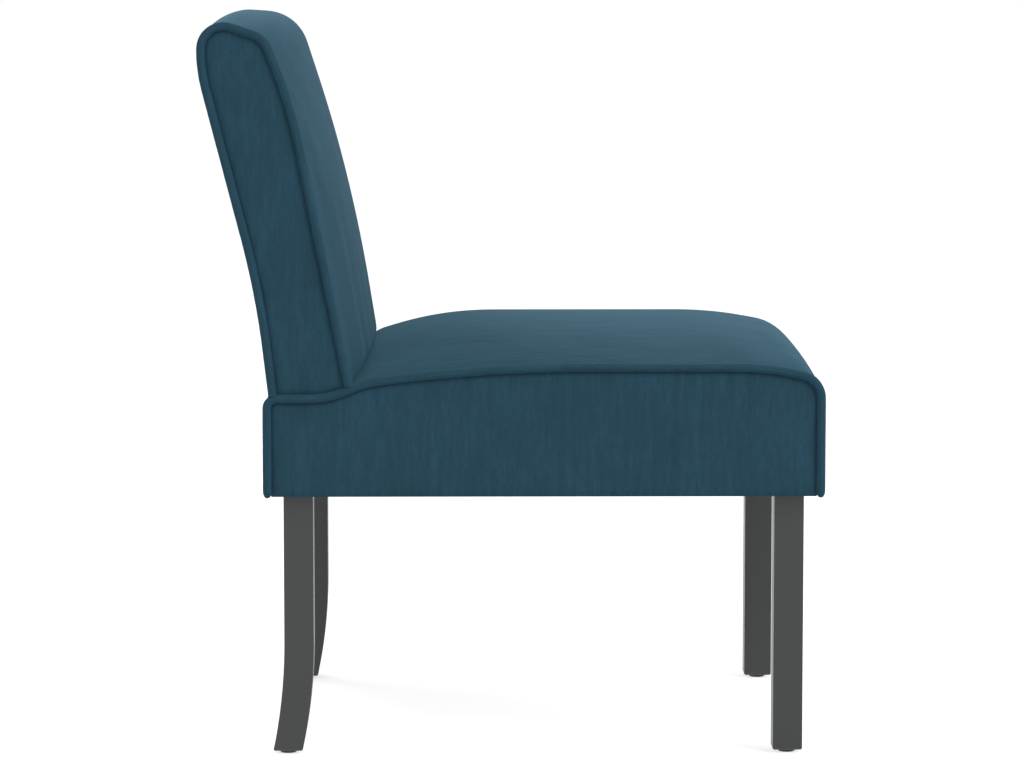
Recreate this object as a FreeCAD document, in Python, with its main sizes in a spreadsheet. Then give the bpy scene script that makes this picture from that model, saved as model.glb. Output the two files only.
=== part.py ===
import FreeCAD, Part
import math
import os
import Sketcher

# Armless slipper chair with a crowned seat, a leaning padded back, two straight front legs
# and two sabre rear legs. Millimetres, +Z up, the sitter faces -Y, the sitter's left is +X.
# The origin lies on the floor, under the middle of the chair's overall box.

SIZES = [
    ("seat_width", 514, "over the two side panels, welts left out"),
    ("seat_depth", 578, "welt line to welt line, front to rear"),
    ("leg_show", 273, "leg from its glide to the underside of the seat"),
    ("deck_height", 379.5, "welt line on the low deck that the back stands on"),
    ("side_rise", 32.5, "deck up to the welt line along the top of the seat's side"),
    ("crown_rise", 64.5, "deck up to the top of the seat on its middle line"),
    ("welt_thickness", 9, "diameter of the covered cord"),
    ("padding", 2, "velvet and wadding of the wrapped covers"),
    ("side_padding", 4.5, "velvet and wadding of the side panels"),
    ("lap", 0.5, "air left where two upholstered pieces meet"),
    ("front_bulge", 4.5, "how far the front swells past its welt line"),
    ("rear_bulge", 4, "how far the seat's rear swells past its welt line"),
    ("fall_run", 55, "front welt line back to where the side's top levels out"),
    ("fall_drop", 12.8, "how much the side's top falls over that run"),
    ("fall_round", 32, "reach of the rounding where it levels out"),
    ("nose_round", 14.3, "reach of the side's front top rounding"),
    ("rear_fall_start", 231, "rear welt line forward to where the side's top dips"),
    ("rear_fall_round", 104, "reach of the rounding there"),
    ("step_top", 102, "rear welt line forward to the top of the step"),
    ("step_drop", 16, "how much the side's top has fallen at the step"),
    ("step_top_round", 15, "reach of the rounding at the top of the step"),
    ("step_foot", 65.5, "rear welt line forward to the foot of the step"),
    ("step_foot_round", 22, "reach of the rounding at the foot of the step"),
    ("deck_round", 8, "reach of the deck's rear corner rounding"),
    ("crown_fall_run", 107, "front of the crown back to where it levels out"),
    ("crown_fall_drop", 18, "how much the crown falls over that run"),
    ("crown_fall_round", 40, "reach of the rounding where the crown levels out"),
    ("crown_nose_round", 46, "reach of the crown's front rounding"),
    ("crown_dip_start", 168.5, "rear welt line forward to where the crown dips"),
    ("crown_dip_round", 56, "reach of the rounding there"),
    ("crown_step_top", 103, "rear welt line forward to the top of the crown's step"),
    ("crown_step_drop", 25.5, "how much the crown has fallen at its step"),
    ("crown_step_top_round", 12, "reach of the rounding at the top of that step"),
    ("crown_step_foot", 86.7, "rear welt line forward to the foot of that step"),
    ("crown_step_foot_round", 22, "reach of the rounding at its foot"),
    ("back_inset", 5, "rear welt line of the seat forward to the back's at the deck"),
    ("bend_rise", 97.5, "deck up to the bend of the back's rear edge"),
    ("bend_back", 3.3, "how far that bend stands behind the seat's welt line"),
    ("bend_round", 25, "reach of the bend's rounding"),
    ("back_overhang", 66.8, "how far the back's top stands behind the seat's welt line"),
    ("back_height", 774.7, "floor to the rear top corner of the back's side"),
    ("shoulder_drop", 54.1, "that corner down to where the rear edge turns upright"),
    ("shoulder_round", 21, "reach of that turn's rounding"),
    ("top_round", 32.7, "reach of the rear top rounding"),
    ("brow_depth", 65.6, "front top corner, forward of the rear top corner"),
    ("brow_drop", 20.7, "front top corner, below the rear top corner"),
    ("brow_round", 11, "reach of the front top rounding"),
    ("chest_drop", 84, "rear top corner down to where the front edge starts to curl back"),
    ("chest_depth", 92.5, "that point, forward of the rear top corner"),
    ("chest_round", 50, "reach of the curl's rounding"),
    ("front_lean", 11.3, "lean of the front edge below it, in degrees"),
    ("back_swell", 7, "how far the back's rear swells past its welt line"),
    ("back_crown_rise", 9.3, "how much higher the back is on its middle line"),
    ("back_crown_round", 38, "reach of the rounding there"),
    ("crown_brow_depth", 96, "front top corner on the middle line, forward of the rear"),
    ("crown_brow_drop", 8.5, "the same corner, below the rear top corner"),
    ("crown_brow_round", 34, "reach of the rounding there"),
    ("crown_chest_drop", 194, "crown down to the slight turn of the crowned front"),
    ("crown_chest_depth", 156, "that turn, forward of the rear top corner"),
    ("crown_chest_round", 120, "reach of that turn's rounding"),
    ("crown_lean", 9, "lean of the crowned front below it, in degrees"),
    ("leg_side", 31, "side of the square legs"),
    ("sabre_start", 120, "floor to where the rear legs start to curve"),
    ("sabre_sweep", 12.3, "how far the rear feet stand behind their legs"),
    ("foot_chamfer", 1.5, "broken edge round each foot"),
    ("leg_top_gap", 6, "top of the legs below the top of the rails"),
    ("glide_height", 3.5, "height of the nail-on glides under the feet"),
    ("glide_width", 21, "diameter of the glides"),
    ("glide_bevel", 2.45, "bevel round the rim of the glides"),
    ("nail_width", 3, "diameter of the nail in each glide"),
    ("nail_length", 16, "length of that nail"),
    ("rail_thickness", 16, "thickness of the four seat rails"),
    ("tenon_thickness", 6, "thickness of the side rails' tenons"),
    ("tenon_depth", 10, "how deep the tenons stand in the front and rear rails"),
    ("tenon_margin", 18, "tenons from the top and bottom edge of the rails"),
    ("brace_thickness", 20, "thickness of the corner braces"),
    ("brace_share", 0.554, "height of the corner braces, as a share of the rails' height"),
    ("drill_lead", 1, "how far a drill starts clear of the wood"),
    ("leg_notch", 10, "flat on each leg's inner corner where its brace bears"),
    ("bolt_width", 8, "diameter of the leg bolts and the back screws"),
    ("bolt_play", 0.6, "extra width of the holes that bolts pass through"),
    ("leg_bolt_grip", 18, "how deep the leg bolts stand in the legs"),
    ("leg_bolt_end", 11, "how far the leg bolts stand out of their braces"),
    ("washer_width", 20, "diameter of the washers"),
    ("washer_thickness", 1.6, "thickness of the washers"),
    ("nut_width", 13, "nuts and screw heads across their flats"),
    ("nut_height", 6.5, "height of nuts and screw heads"),
    ("board_thickness", 18, "thickness of the deck board"),
    ("board_depth", 70, "depth of the deck board, front to rear"),
    ("strap_width", 50, "width of the webbing"),
    ("strap_thickness", 1.6, "thickness of the webbing"),
    ("strap_end_gap", 2, "ends of the crosswise straps from the outer face of the rails"),
    ("strap_front_gap", 3.2, "ends of the lengthwise straps from the front of the front rail"),
    ("seat_straps_along", 4, "straps that run front to rear"),
    ("seat_straps_across", 4, "straps that run side to side"),
    ("dust_cover_thickness", 0.8, "non-woven sheet under the seat"),
    ("dust_cover_margin", 6, "its edge from the outer face of the rails"),
    ("stile_thickness", 18, "thickness of the back's two side posts"),
    ("stile_width", 38, "their width, front to rear"),
    ("stile_inset", 9, "their rear edge inside the back's welt line"),
    ("stile_top_drop", 49.4, "back's rear top corner down to their tops"),
    ("stile_round", 60, "rounding of their bend"),
    ("lower_rail_height", 60, "height of the back's lower rail"),
    ("top_rail_height", 45, "height of the back's top rail"),
    ("back_strap_start", 0.165, "first back strap above the bend, as a share of the posts there"),
    ("back_strap_pitch", 0.22, "spacing of the back straps, as a share of the posts there"),
    ("back_straps", 3, "straps above the bend"),
    ("back_screw_margin", 41.5, "outer back screws from the inner face of the side rails"),
    ("inner_screw_share", 0.41, "place of the inner back screws, as a share of the outer ones'"),
    ("screw_reach", 38, "how far the back screws reach into the lower rail"),
]

LINES = [
    ("side_height", "Sizes.deck_height + Sizes.side_rise"),
    ("crown_height", "Sizes.deck_height + Sizes.crown_rise"),
    ("bend_height", "Sizes.deck_height + Sizes.bend_rise"),
    ("shoulder_height", "Sizes.back_height - Sizes.shoulder_drop"),
    ("chest_height", "Sizes.back_height - Sizes.chest_drop"),
    ("back_crown_height", "Sizes.back_height + Sizes.back_crown_rise"),
    ("crown_chest_height", "Lines.back_crown_height - Sizes.crown_chest_drop"),
    ("panel_face", "Sizes.seat_width / 2"),
    ("wood_face", "Lines.panel_face - Sizes.side_padding"),
    ("leg_face", "Lines.wood_face - Sizes.rail_thickness"),
    ("welt_radius", "Sizes.welt_thickness / 2"),
    ("depth_over", "Sizes.seat_depth + Sizes.back_overhang + Sizes.back_swell + Sizes.front_bulge"),
    ("front_line", "Sizes.front_bulge - Lines.depth_over / 2"),
    ("rear_line", "Lines.front_line + Sizes.seat_depth"),
    ("front_inner", "Lines.front_line + Sizes.rail_thickness"),
    ("rear_inner", "Lines.rear_line - Sizes.rail_thickness"),
    ("seat_bottom", "Sizes.glide_height + Sizes.leg_show"),
    ("rail_bottom", "Lines.seat_bottom + Sizes.padding"),
    ("deck_face", "Sizes.deck_height + Sizes.padding"),
    ("board_top", "Lines.deck_face - Sizes.padding"),
    ("board_rear", "Lines.rear_line - Sizes.deck_round"),
    ("rail_top", "Lines.board_top - Sizes.board_thickness"),
    ("rail_height", "Lines.rail_top - Lines.rail_bottom"),
    ("board_front", "Lines.board_rear - Sizes.board_depth"),
    ("web_top", "Lines.rail_top + 2 * Sizes.strap_thickness"),
    ("leg_top", "Lines.rail_top - Sizes.leg_top_gap"),
    ("leg_half", "Sizes.leg_side / 2"),
    ("leg_x", "Lines.leg_face - Lines.leg_half"),
    ("front_leg_y", "Lines.front_inner + Lines.leg_half"),
    ("rear_leg_y", "Lines.rear_inner - Lines.leg_half"),
    ("curve_drop", "Sizes.sabre_start - Sizes.glide_height"),
    ("curve_radius", "(Lines.curve_drop ^ 2 + Sizes.sabre_sweep ^ 2) / (2 * Sizes.sabre_sweep)"),
    ("brace_near", "2 * Sizes.leg_side - Sizes.leg_notch"),
    ("brace_far", "Lines.brace_near + Sizes.brace_thickness * sqrt(2)"),
    ("brace_height", "Lines.rail_height * Sizes.brace_share"),
    ("brace_bottom", "Lines.rail_bottom + (Lines.rail_height - Lines.brace_height) / 2"),
    ("leg_bolt_z", "Lines.rail_bottom + Lines.rail_height / 2"),
    ("brace_back", "Lines.brace_far / sqrt(2)"),
    ("back_foot", "Lines.deck_face + Sizes.lap + Sizes.padding + Sizes.lap"),
    ("back_rear", "Lines.rear_line + Sizes.back_overhang"),
    ("bend_y", "Lines.rear_line + Sizes.bend_back"),
    ("foot_y", "Lines.rear_line - Sizes.back_inset"),
    ("low_run", "Lines.bend_y - Lines.foot_y"),
    ("low_rise", "Sizes.bend_rise"),
    ("high_run", "Sizes.back_overhang - Sizes.bend_back"),
    ("high_rise", "Lines.shoulder_height - Lines.bend_height"),
    ("low_lean", "atan(Lines.low_run / Lines.low_rise) / 1deg"),
    ("high_lean", "atan(Lines.high_run / Lines.high_rise) / 1deg"),
    ("mid_lean", "(Lines.low_lean + Lines.high_lean) / 2"),
    ("mitre", "cos((Lines.high_lean - Lines.low_lean) * 0.5deg)"),
    ("rear_reach", "Sizes.stile_inset / Lines.mitre"),
    ("front_reach", "(Sizes.stile_inset + Sizes.stile_width) / Lines.mitre"),
    ("stile_bend_rear_y", "Lines.bend_y - Lines.rear_reach * cos(Lines.mid_lean * 1deg)"),
    ("stile_bend_rear_z", "Lines.bend_height + Lines.rear_reach * sin(Lines.mid_lean * 1deg)"),
    ("stile_bend_front_y", "Lines.bend_y - Lines.front_reach * cos(Lines.mid_lean * 1deg)"),
    ("stile_bend_front_z", "Lines.bend_height + Lines.front_reach * sin(Lines.mid_lean * 1deg)"),
    ("stile_foot_rear_y",
     "Lines.stile_bend_rear_y - (Lines.stile_bend_rear_z - Lines.back_foot) * tan(Lines.low_lean * 1deg)"),
    ("stile_foot_front_y",
     "Lines.stile_bend_front_y - (Lines.stile_bend_front_z - Lines.back_foot) * tan(Lines.low_lean * 1deg)"),
    ("stile_top_rear_z", "Sizes.back_height - Sizes.stile_top_drop"),
    ("stile_length", "(Lines.stile_top_rear_z - Lines.stile_bend_rear_z) / cos(Lines.high_lean * 1deg)"),
    ("stile_top_rear_y", "Lines.stile_bend_rear_y + Lines.stile_length * sin(Lines.high_lean * 1deg)"),
    ("stile_top_front_y", "Lines.stile_top_rear_y - Sizes.stile_width * cos(Lines.high_lean * 1deg)"),
    ("stile_top_front_z", "Lines.stile_top_rear_z + Sizes.stile_width * sin(Lines.high_lean * 1deg)"),
    ("lower_rail_top", "Lines.back_foot + Sizes.lower_rail_height"),
    ("back_screw_y", "(Lines.stile_foot_rear_y + Lines.stile_foot_front_y) / 2"),
    ("stile_inner", "Lines.wood_face - Sizes.stile_thickness"),
    ("screw_outer", "Lines.leg_face - Sizes.back_screw_margin"),
    ("screw_inner", "Lines.screw_outer * Sizes.inner_screw_share"),
]

SIDES = (("left", 1), ("right", -1))

# Lengths below this count as touching.
TOUCH = 0.01

# Share of the half width at which a crowned form has a cross section, and how full its crown is.
SECTION_STATIONS = (-1, -0.8, -0.45, 0, 0.45, 0.8, 1)
CROWN_FULLNESS = 2.2
CUT_MARGIN = 2
WELT_SIDES = 8

doc = FreeCAD.newDocument("slipper_chair")
nodes = []


def fill_sheet():
    """Write the driving dimensions into the sheet, one row each, and the lines drawn from them."""
    sheet = doc.addObject("Spreadsheet::Sheet", "Sizes")
    for row, (name, value, note) in enumerate(SIZES, start=1):
        sheet.set(f"A{row}", name)
        sheet.set(f"B{row}", str(value))
        sheet.set(f"C{row}", note)
        sheet.setAlias(f"B{row}", name)
    doc.recompute()
    lines = doc.addObject("App::VarSet", "Lines")
    for name, formula in LINES:
        lines.addProperty("App::PropertyFloat", name)
        lines.setExpression(name, formula)
    doc.recompute()
    return sheet, lines


S, L = fill_sheet()


def number(formula):
    """The value of a formula in plain millimetres."""
    result = L.evalExpression(formula)
    return float(getattr(result, "Value", result))


def bind(thing, formulas):
    """Tie properties of a thing to formulas."""
    for path, formula in formulas.items():
        thing.setExpression(path, formula)


def place(thing, x, y, z):
    """Tie the place of a thing to three formulas."""
    bind(thing, {"Placement.Base.x": x, "Placement.Base.y": y, "Placement.Base.z": z})


def keep(thing):
    """Count a thing as one of the chair's own pieces."""
    nodes.append(thing)
    return thing


def box(name, size, corner):
    """A square-edged board from its three sizes and its lowest corner, all formulas."""
    board = doc.addObject("Part::Box", name)
    bind(board, dict(zip(("Length", "Width", "Height"), size)))
    place(board, *corner)
    return board


def rod(name, radius, length, foot, direction):
    """A round rod from its foot along a direction."""
    cylinder = doc.addObject("Part::Cylinder", name)
    bind(cylinder, {"Radius": radius, "Height": length})
    cylinder.Placement.Rotation = FreeCAD.Rotation(FreeCAD.Vector(0, 0, 1), FreeCAD.Vector(*direction))
    place(cylinder, *foot)
    return cylinder


def hexagon(name, flats, height, foot, direction):
    """A six-sided nut or bolt head from its foot along a direction."""
    prism = doc.addObject("Part::Prism", name)
    prism.Polygon = 6
    bind(prism, {"Circumradius": f"({flats}) / sqrt(3)", "Height": height})
    prism.Placement.Rotation = FreeCAD.Rotation(FreeCAD.Vector(0, 0, 1), FreeCAD.Vector(*direction))
    place(prism, *foot)
    return prism


def group(name, members):
    """Alike pieces held together as one group of separate solids."""
    compound = doc.addObject("Part::Compound", name)
    compound.Links = members
    return compound


def cut(name, blank, tool):
    """A blank with another shape taken out of it."""
    result = doc.addObject("Part::Cut", name)
    result.Base = blank
    result.Tool = tool
    return result


def origin_plane(body, role):
    """One of a body's own origin planes."""
    for feature in body.Origin.OriginFeatures:
        if feature.Role == role:
            return feature
    raise ValueError(role)


def sketch_on(body, name, role, lift=None):
    """An empty sketch on an origin plane of the body, lifted off it by a formula if given."""
    sketch = body.newObject("Sketcher::SketchObject", name)
    sketch.AttachmentSupport = (origin_plane(body, role), [""])
    sketch.MapMode = "FlatFace"
    if lift:
        sketch.setExpression("AttachmentOffset.Base.z", lift)
    return sketch


def pin(sketch, line, point, across, up):
    """Hold the end of a line at two formulas measured from the sketch's origin."""
    for kind, formula in (("DistanceX", across), ("DistanceY", up)):
        constraint = Sketcher.Constraint(kind, -1, 1, line, point, number(formula))
        index = sketch.addConstraint(constraint)
        sketch.setExpression(f"Constraints[{index}]", formula)


def arc_between(start, end, centre, radius):
    """The shorter arc from start to end, and whether it runs counter-clockwise."""
    first = math.atan2(start.y - centre.y, start.x - centre.x)
    last = math.atan2(end.y - centre.y, end.x - centre.x)
    forwards = (last - first) % (2 * math.pi) < math.pi
    if not forwards:
        first, last = last, first
    circle = Part.Circle(centre, FreeCAD.Vector(0, 0, 1), radius)
    return Part.ArcOfCircle(circle, first, last), forwards


def draw_outline(sketch, corners, arcs=None):
    """Close a loop through pinned corners; arcs names the edges that are bent.

    Each arc is given as its radius and the two coordinates of its centre, all formulas."""
    arcs = arcs or {}
    points = [FreeCAD.Vector(number(across), number(up), 0) for across, up in corners]
    starts = []
    for index, start in enumerate(points):
        end = points[(index + 1) % len(points)]
        forwards = True
        geometry = Part.LineSegment(start, end)
        if index in arcs:
            radius, across, up = (number(formula) for formula in arcs[index])
            geometry, forwards = arc_between(start, end, FreeCAD.Vector(across, up, 0), radius)
        sketch.addGeometry(geometry, False)
        starts.append(1 if forwards else 2)
    for index, start in enumerate(starts):
        pin(sketch, index, start, *corners[index])
        before = (index - 1) % len(starts)
        sketch.addConstraint(Sketcher.Constraint("Coincident", before, 3 - starts[before], index, start))
    for index, (radius, _, _) in arcs.items():
        constraint = sketch.addConstraint(Sketcher.Constraint("Radius", index, number(radius)))
        sketch.setExpression(f"Constraints[{constraint}]", radius)


def pad(body, sketch, length, midplane=False):
    """Thicken a sketch into a solid."""
    feature = body.newObject("PartDesign::Pad", sketch.Name + "_pad")
    feature.Profile = sketch
    feature.setExpression("Length", length)
    if midplane:
        feature.Midplane = True
    sketch.Visibility = False
    return feature


def drill(body, name, radius, depth, foot, direction):
    """A round hole in a body, from its foot along a direction."""
    feature = body.newObject("PartDesign::SubtractiveCylinder", name)
    bind(feature, {"Radius": radius, "Height": depth})
    feature.Placement.Rotation = FreeCAD.Rotation(FreeCAD.Vector(0, 0, 1), FreeCAD.Vector(*direction))
    place(feature, *foot)
    return feature


def turn_and_normals(corners, index):
    """Signed turn at a corner of a counter-clockwise outline and the outward normals beside it."""
    before = corners[index - 1]
    here = corners[index]
    after = corners[(index + 1) % len(corners)]
    first = math.atan2(here[1] - before[1], here[0] - before[0])
    second = math.atan2(after[1] - here[1], after[0] - here[0])
    turn = (second - first + math.pi) % (2 * math.pi) - math.pi
    return turn, first - math.pi / 2, second - math.pi / 2


def grown(corners, amount):
    """The outline with every edge moved outwards by an amount and its roundings kept concentric."""
    result = []
    for index, (y, z, reach) in enumerate(corners):
        turn, normal_in, normal_out = turn_and_normals(corners, index)
        middle = (normal_in + turn / 2)
        stretch = amount / math.cos(turn / 2)
        new_reach = reach + amount * math.tan(turn / 2) if reach else 0
        result.append((y + stretch * math.cos(middle), z + stretch * math.sin(middle), new_reach))
    return result


def blended(first, second, share):
    """The outline that lies a share of the way from the first outline to the second."""
    pairs = zip(first, second)
    return [tuple(a + (b - a) * share for a, b in zip(one, other)) for one, other in pairs]


def outline_edges(corners, x, closed=True):
    """Lines and tangent arcs through the corners of an outline, in the plane across the chair at x."""
    trimmed = []
    for index, (y, z, reach) in enumerate(corners):
        here = FreeCAD.Vector(x, y, z)
        before = corners[index - 1]
        after = corners[(index + 1) % len(corners)]
        towards_before = FreeCAD.Vector(0, before[0] - y, before[1] - z).normalize()
        towards_after = FreeCAD.Vector(0, after[0] - y, after[1] - z).normalize()
        start = here + towards_before * reach
        end = here + towards_after * reach
        trimmed.append((here, start, end, reach, towards_before, towards_after))
    edges = []
    for index, (here, start, end, reach, back_way, on_way) in enumerate(trimmed):
        if reach:
            turn = turn_and_normals(corners, index)[0]
            radius = reach / math.tan(abs(turn) / 2)
            inwards = (back_way + on_way).normalize()
            middle = here + inwards * (math.hypot(radius, reach) - radius)
            edges.append(Part.Arc(start, middle, end).toShape())
        if closed or index < len(trimmed) - 1:
            follow = trimmed[(index + 1) % len(trimmed)]
            edges.append(Part.LineSegment(end, follow[1]).toShape())
    return edges


def with_bottom(corners, z):
    """An outline whose first and last corners, at its bottom, stand at z."""
    first, last = corners[0], corners[-1]
    return [(first[0], z, 0)] + corners[1:-1] + [(last[0], z, 0)]


def seat_side():
    """Welt line of the seat's side, clockwise seen from the sitter's left, from the rear bottom."""
    front, rear = L.front_line, L.rear_line
    return [
        (rear, L.seat_bottom, 0),
        (rear, S.deck_height, S.deck_round),
        (rear - S.step_foot, S.deck_height, S.step_foot_round),
        (rear - S.step_top, L.side_height - S.step_drop, S.step_top_round),
        (rear - S.rear_fall_start, L.side_height, S.rear_fall_round),
        (front + S.fall_run, L.side_height, S.fall_round),
        (front, L.side_height - S.fall_drop, S.nose_round),
        (front, L.seat_bottom, 0),
    ]


def seat_middle():
    """Outer surface of the seat on its middle line."""
    front, rear = L.front_line - S.front_bulge, L.rear_line
    return [
        (rear + S.rear_bulge, L.seat_bottom, 0),
        (rear + S.rear_bulge, L.deck_face, S.deck_round),
        (rear - S.crown_step_foot, L.deck_face, S.crown_step_foot_round),
        (rear - S.crown_step_top, L.crown_height - S.crown_step_drop, S.crown_step_top_round),
        (rear - S.crown_dip_start, L.crown_height, S.crown_dip_round),
        (front + S.crown_fall_run, L.crown_height, S.crown_fall_round),
        (front, L.crown_height - S.crown_fall_drop, S.crown_nose_round),
        (front, L.seat_bottom, 0),
    ]


def back_side():
    """Welt line of the back's side, from the rear bottom, run down past the deck to be trimmed."""
    rear, top = L.back_rear, S.back_height
    bottom = L.rail_top
    chest_y = rear - S.chest_depth
    slope = math.tan(math.radians(S.front_lean))
    return [
        (L.foot_y - (S.deck_height - bottom) * L.low_run / L.low_rise, bottom, 0),
        (L.bend_y, L.bend_height, S.bend_round),
        (rear, L.shoulder_height, S.shoulder_round),
        (rear, top, S.top_round),
        (rear - S.brow_depth, top - S.brow_drop, S.brow_round),
        (chest_y, L.chest_height, S.chest_round),
        (chest_y - (L.chest_height - bottom) * slope, bottom, 0),
    ]


def back_middle():
    """Outer surface of the back on its middle line."""
    rear, top = L.back_rear + S.back_swell, L.back_crown_height
    bottom = L.rail_top
    chest_y = rear - S.crown_chest_depth
    slope = math.tan(math.radians(S.crown_lean))
    return [
        (L.foot_y - (S.deck_height - bottom) * L.low_run / L.low_rise + S.back_swell, bottom, 0),
        (L.bend_y + S.back_swell, L.bend_height, S.bend_round),
        (rear, L.shoulder_height, S.shoulder_round),
        (rear, top, S.back_crown_round),
        (rear - S.crown_brow_depth, top - S.crown_brow_drop, S.crown_brow_round),
        (chest_y, L.crown_chest_height, S.crown_chest_round),
        (chest_y - (L.crown_chest_height - bottom) * slope, bottom, 0),
    ]


def crowned(side, middle, inset, half_width, bottom=None):
    """A crowned form: outlines blended from the edge to the middle and back, lofted across."""
    wires = []
    for station in SECTION_STATIONS:
        crown = 1 - abs(station) ** CROWN_FULLNESS
        corners = grown(blended(side, middle, crown), -inset)
        if bottom is not None:
            corners = with_bottom(corners, bottom)
        wires.append(Part.Wire(outline_edges(corners, station * half_width)))
    return Part.makeLoft(wires, True, False)


def seat_form(inset, half_width, bottom):
    """The seat's crowned form, set in by an amount."""
    return crowned(grown(seat_side(), S.padding), seat_middle(), inset, half_width, bottom)


def back_form(inset, half_width):
    """The back's crowned form, set in by an amount and not yet trimmed to the seat."""
    return crowned(grown(back_side(), S.padding), back_middle(), inset, half_width)


def slab(corners, x, thickness):
    """A flat outline thickened along the chair's width."""
    face = Part.Face(Part.Wire(outline_edges(corners, x)))
    return face.extrude(FreeCAD.Vector(thickness, 0, 0))


def block(x0, x1, y0, y1, z0, z1):
    """A plain block between two corners."""
    return Part.makeBox(x1 - x0, y1 - y0, z1 - z0, FreeCAD.Vector(x0, y0, z0))


def moulded(name, shape):
    """A piece whose form is lofted or swept from its outlines."""
    feature = doc.addObject("Part::Feature", name)
    feature.Shape = shape
    feature.Placement = FreeCAD.Placement()
    return keep(feature)


# Seat frame: four rails, tenoned at the corners, with the legs standing inside the corners.
def seat_rails():
    """Front and rear rails run the full width, side rails stand between them on tenons."""
    height = "Lines.rail_height - 2 * Sizes.tenon_margin"
    length = "Lines.rear_inner - Lines.front_inner"
    tongues = []
    for side, sign in SIDES:
        middle = f"{sign} * (Lines.wood_face - Sizes.rail_thickness / 2)"
        blank = box(f"seat_rail_{side}_blank", ("Sizes.rail_thickness", length, "Lines.rail_height"),
                    (f"{middle} - Sizes.rail_thickness / 2", "Lines.front_inner", "Lines.rail_bottom"))
        tongue = box(f"rail_tongue_{side}",
                     ("Sizes.tenon_thickness", f"{length} + 2 * Sizes.tenon_depth", height),
                     (f"{middle} - Sizes.tenon_thickness / 2", "Lines.front_inner - Sizes.tenon_depth",
                      "Lines.rail_bottom + Sizes.tenon_margin"))
        rail = doc.addObject("Part::Fuse", f"seat_rail_{side}")
        rail.Base = blank
        rail.Tool = tongue
        rail.Refine = True
        tongues.append(tongue)
        keep(rail)
    mortises = group("rail_mortises", tongues)
    for end, y in (("front", "Lines.front_line"), ("rear", "Lines.rear_inner")):
        blank = box(f"seat_rail_{end}_blank",
                    ("2 * Lines.wood_face", "Sizes.rail_thickness", "Lines.rail_height"),
                    ("-Lines.wood_face", y, "Lines.rail_bottom"))
        keep(cut(f"seat_rail_{end}", blank, mortises))


def corner_names():
    """Each corner's name with the signs of its x and y and the turn that brings it there."""
    return (("front_right", -1, -1, 0), ("front_left", 1, -1, 90),
            ("rear_left", 1, 1, 180), ("rear_right", -1, 1, 270))


def corner_origin(x_sign, y_sign):
    """Formulas of the point where two rails meet on their inner faces."""
    y = "Lines.front_inner" if y_sign < 0 else "Lines.rear_inner"
    return f"{x_sign} * Lines.leg_face", y


def corner_braces():
    """A mitred block across each corner, bored for the leg bolt."""
    near, far = "Lines.brace_near", "Lines.brace_far"
    lead = "Lines.brace_near / 2 - Sizes.drill_lead"
    for corner, x_sign, y_sign, turn in corner_names():
        body = doc.addObject("PartDesign::Body", f"corner_brace_{corner}")
        sketch = sketch_on(body, f"brace_outline_{corner}", "XY_Plane")
        draw_outline(sketch, ((near, "0"), (far, "0"), ("0", far), ("0", near)))
        pad(body, sketch, "Lines.brace_height")
        foot = (lead, lead, "Lines.brace_height / 2")
        drill(body, f"brace_bore_{corner}", "(Sizes.bolt_width + Sizes.bolt_play) / 2",
              "2 * Sizes.brace_thickness", foot, (1, 1, 0))
        body.Placement.Rotation = FreeCAD.Rotation(FreeCAD.Vector(0, 0, 1), turn)
        x, y = corner_origin(x_sign, y_sign)
        place(body, x, y, "Lines.brace_bottom")
        keep(body)


def along_corner(x_sign, y_sign, distance):
    """Formulas of the point at a distance from a corner's origin along its diagonal."""
    x, y = corner_origin(x_sign, y_sign)
    return f"{x} - {x_sign} * ({distance}) / sqrt(2)", f"{y} - ({y_sign}) * ({distance}) / sqrt(2)"


def leg_fasteners():
    """A hanger bolt through each brace into its leg, with a washer and a nut."""
    bolts, washers, nuts = [], [], []
    start = "Lines.brace_near / sqrt(2) - Sizes.leg_bolt_grip"
    length = "Sizes.leg_bolt_grip + Sizes.brace_thickness + Sizes.leg_bolt_end"
    nut_start = "Lines.brace_back + Sizes.washer_thickness"
    for corner, x_sign, y_sign, _ in corner_names():
        inwards = (-x_sign, -y_sign, 0)
        foot = (*along_corner(x_sign, y_sign, start), "Lines.leg_bolt_z")
        bolts.append(rod(f"leg_bolt_{corner}", "Sizes.bolt_width / 2", length, foot, inwards))
        foot = (*along_corner(x_sign, y_sign, "Lines.brace_back"), "Lines.leg_bolt_z")
        disc = rod(f"washer_disc_{corner}", "Sizes.washer_width / 2", "Sizes.washer_thickness", foot, inwards)
        washers.append(cut(f"leg_washer_{corner}", disc, bolts[-1]))
        foot = (*along_corner(x_sign, y_sign, nut_start), "Lines.leg_bolt_z")
        blank = hexagon(f"nut_blank_{corner}", "Sizes.nut_width", "Sizes.nut_height", foot, inwards)
        nuts.append(cut(f"leg_nut_{corner}", blank, bolts[-1]))
    keep(group("leg_bolts", bolts))
    keep(group("leg_washers", washers))
    keep(group("leg_nuts", nuts))


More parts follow.
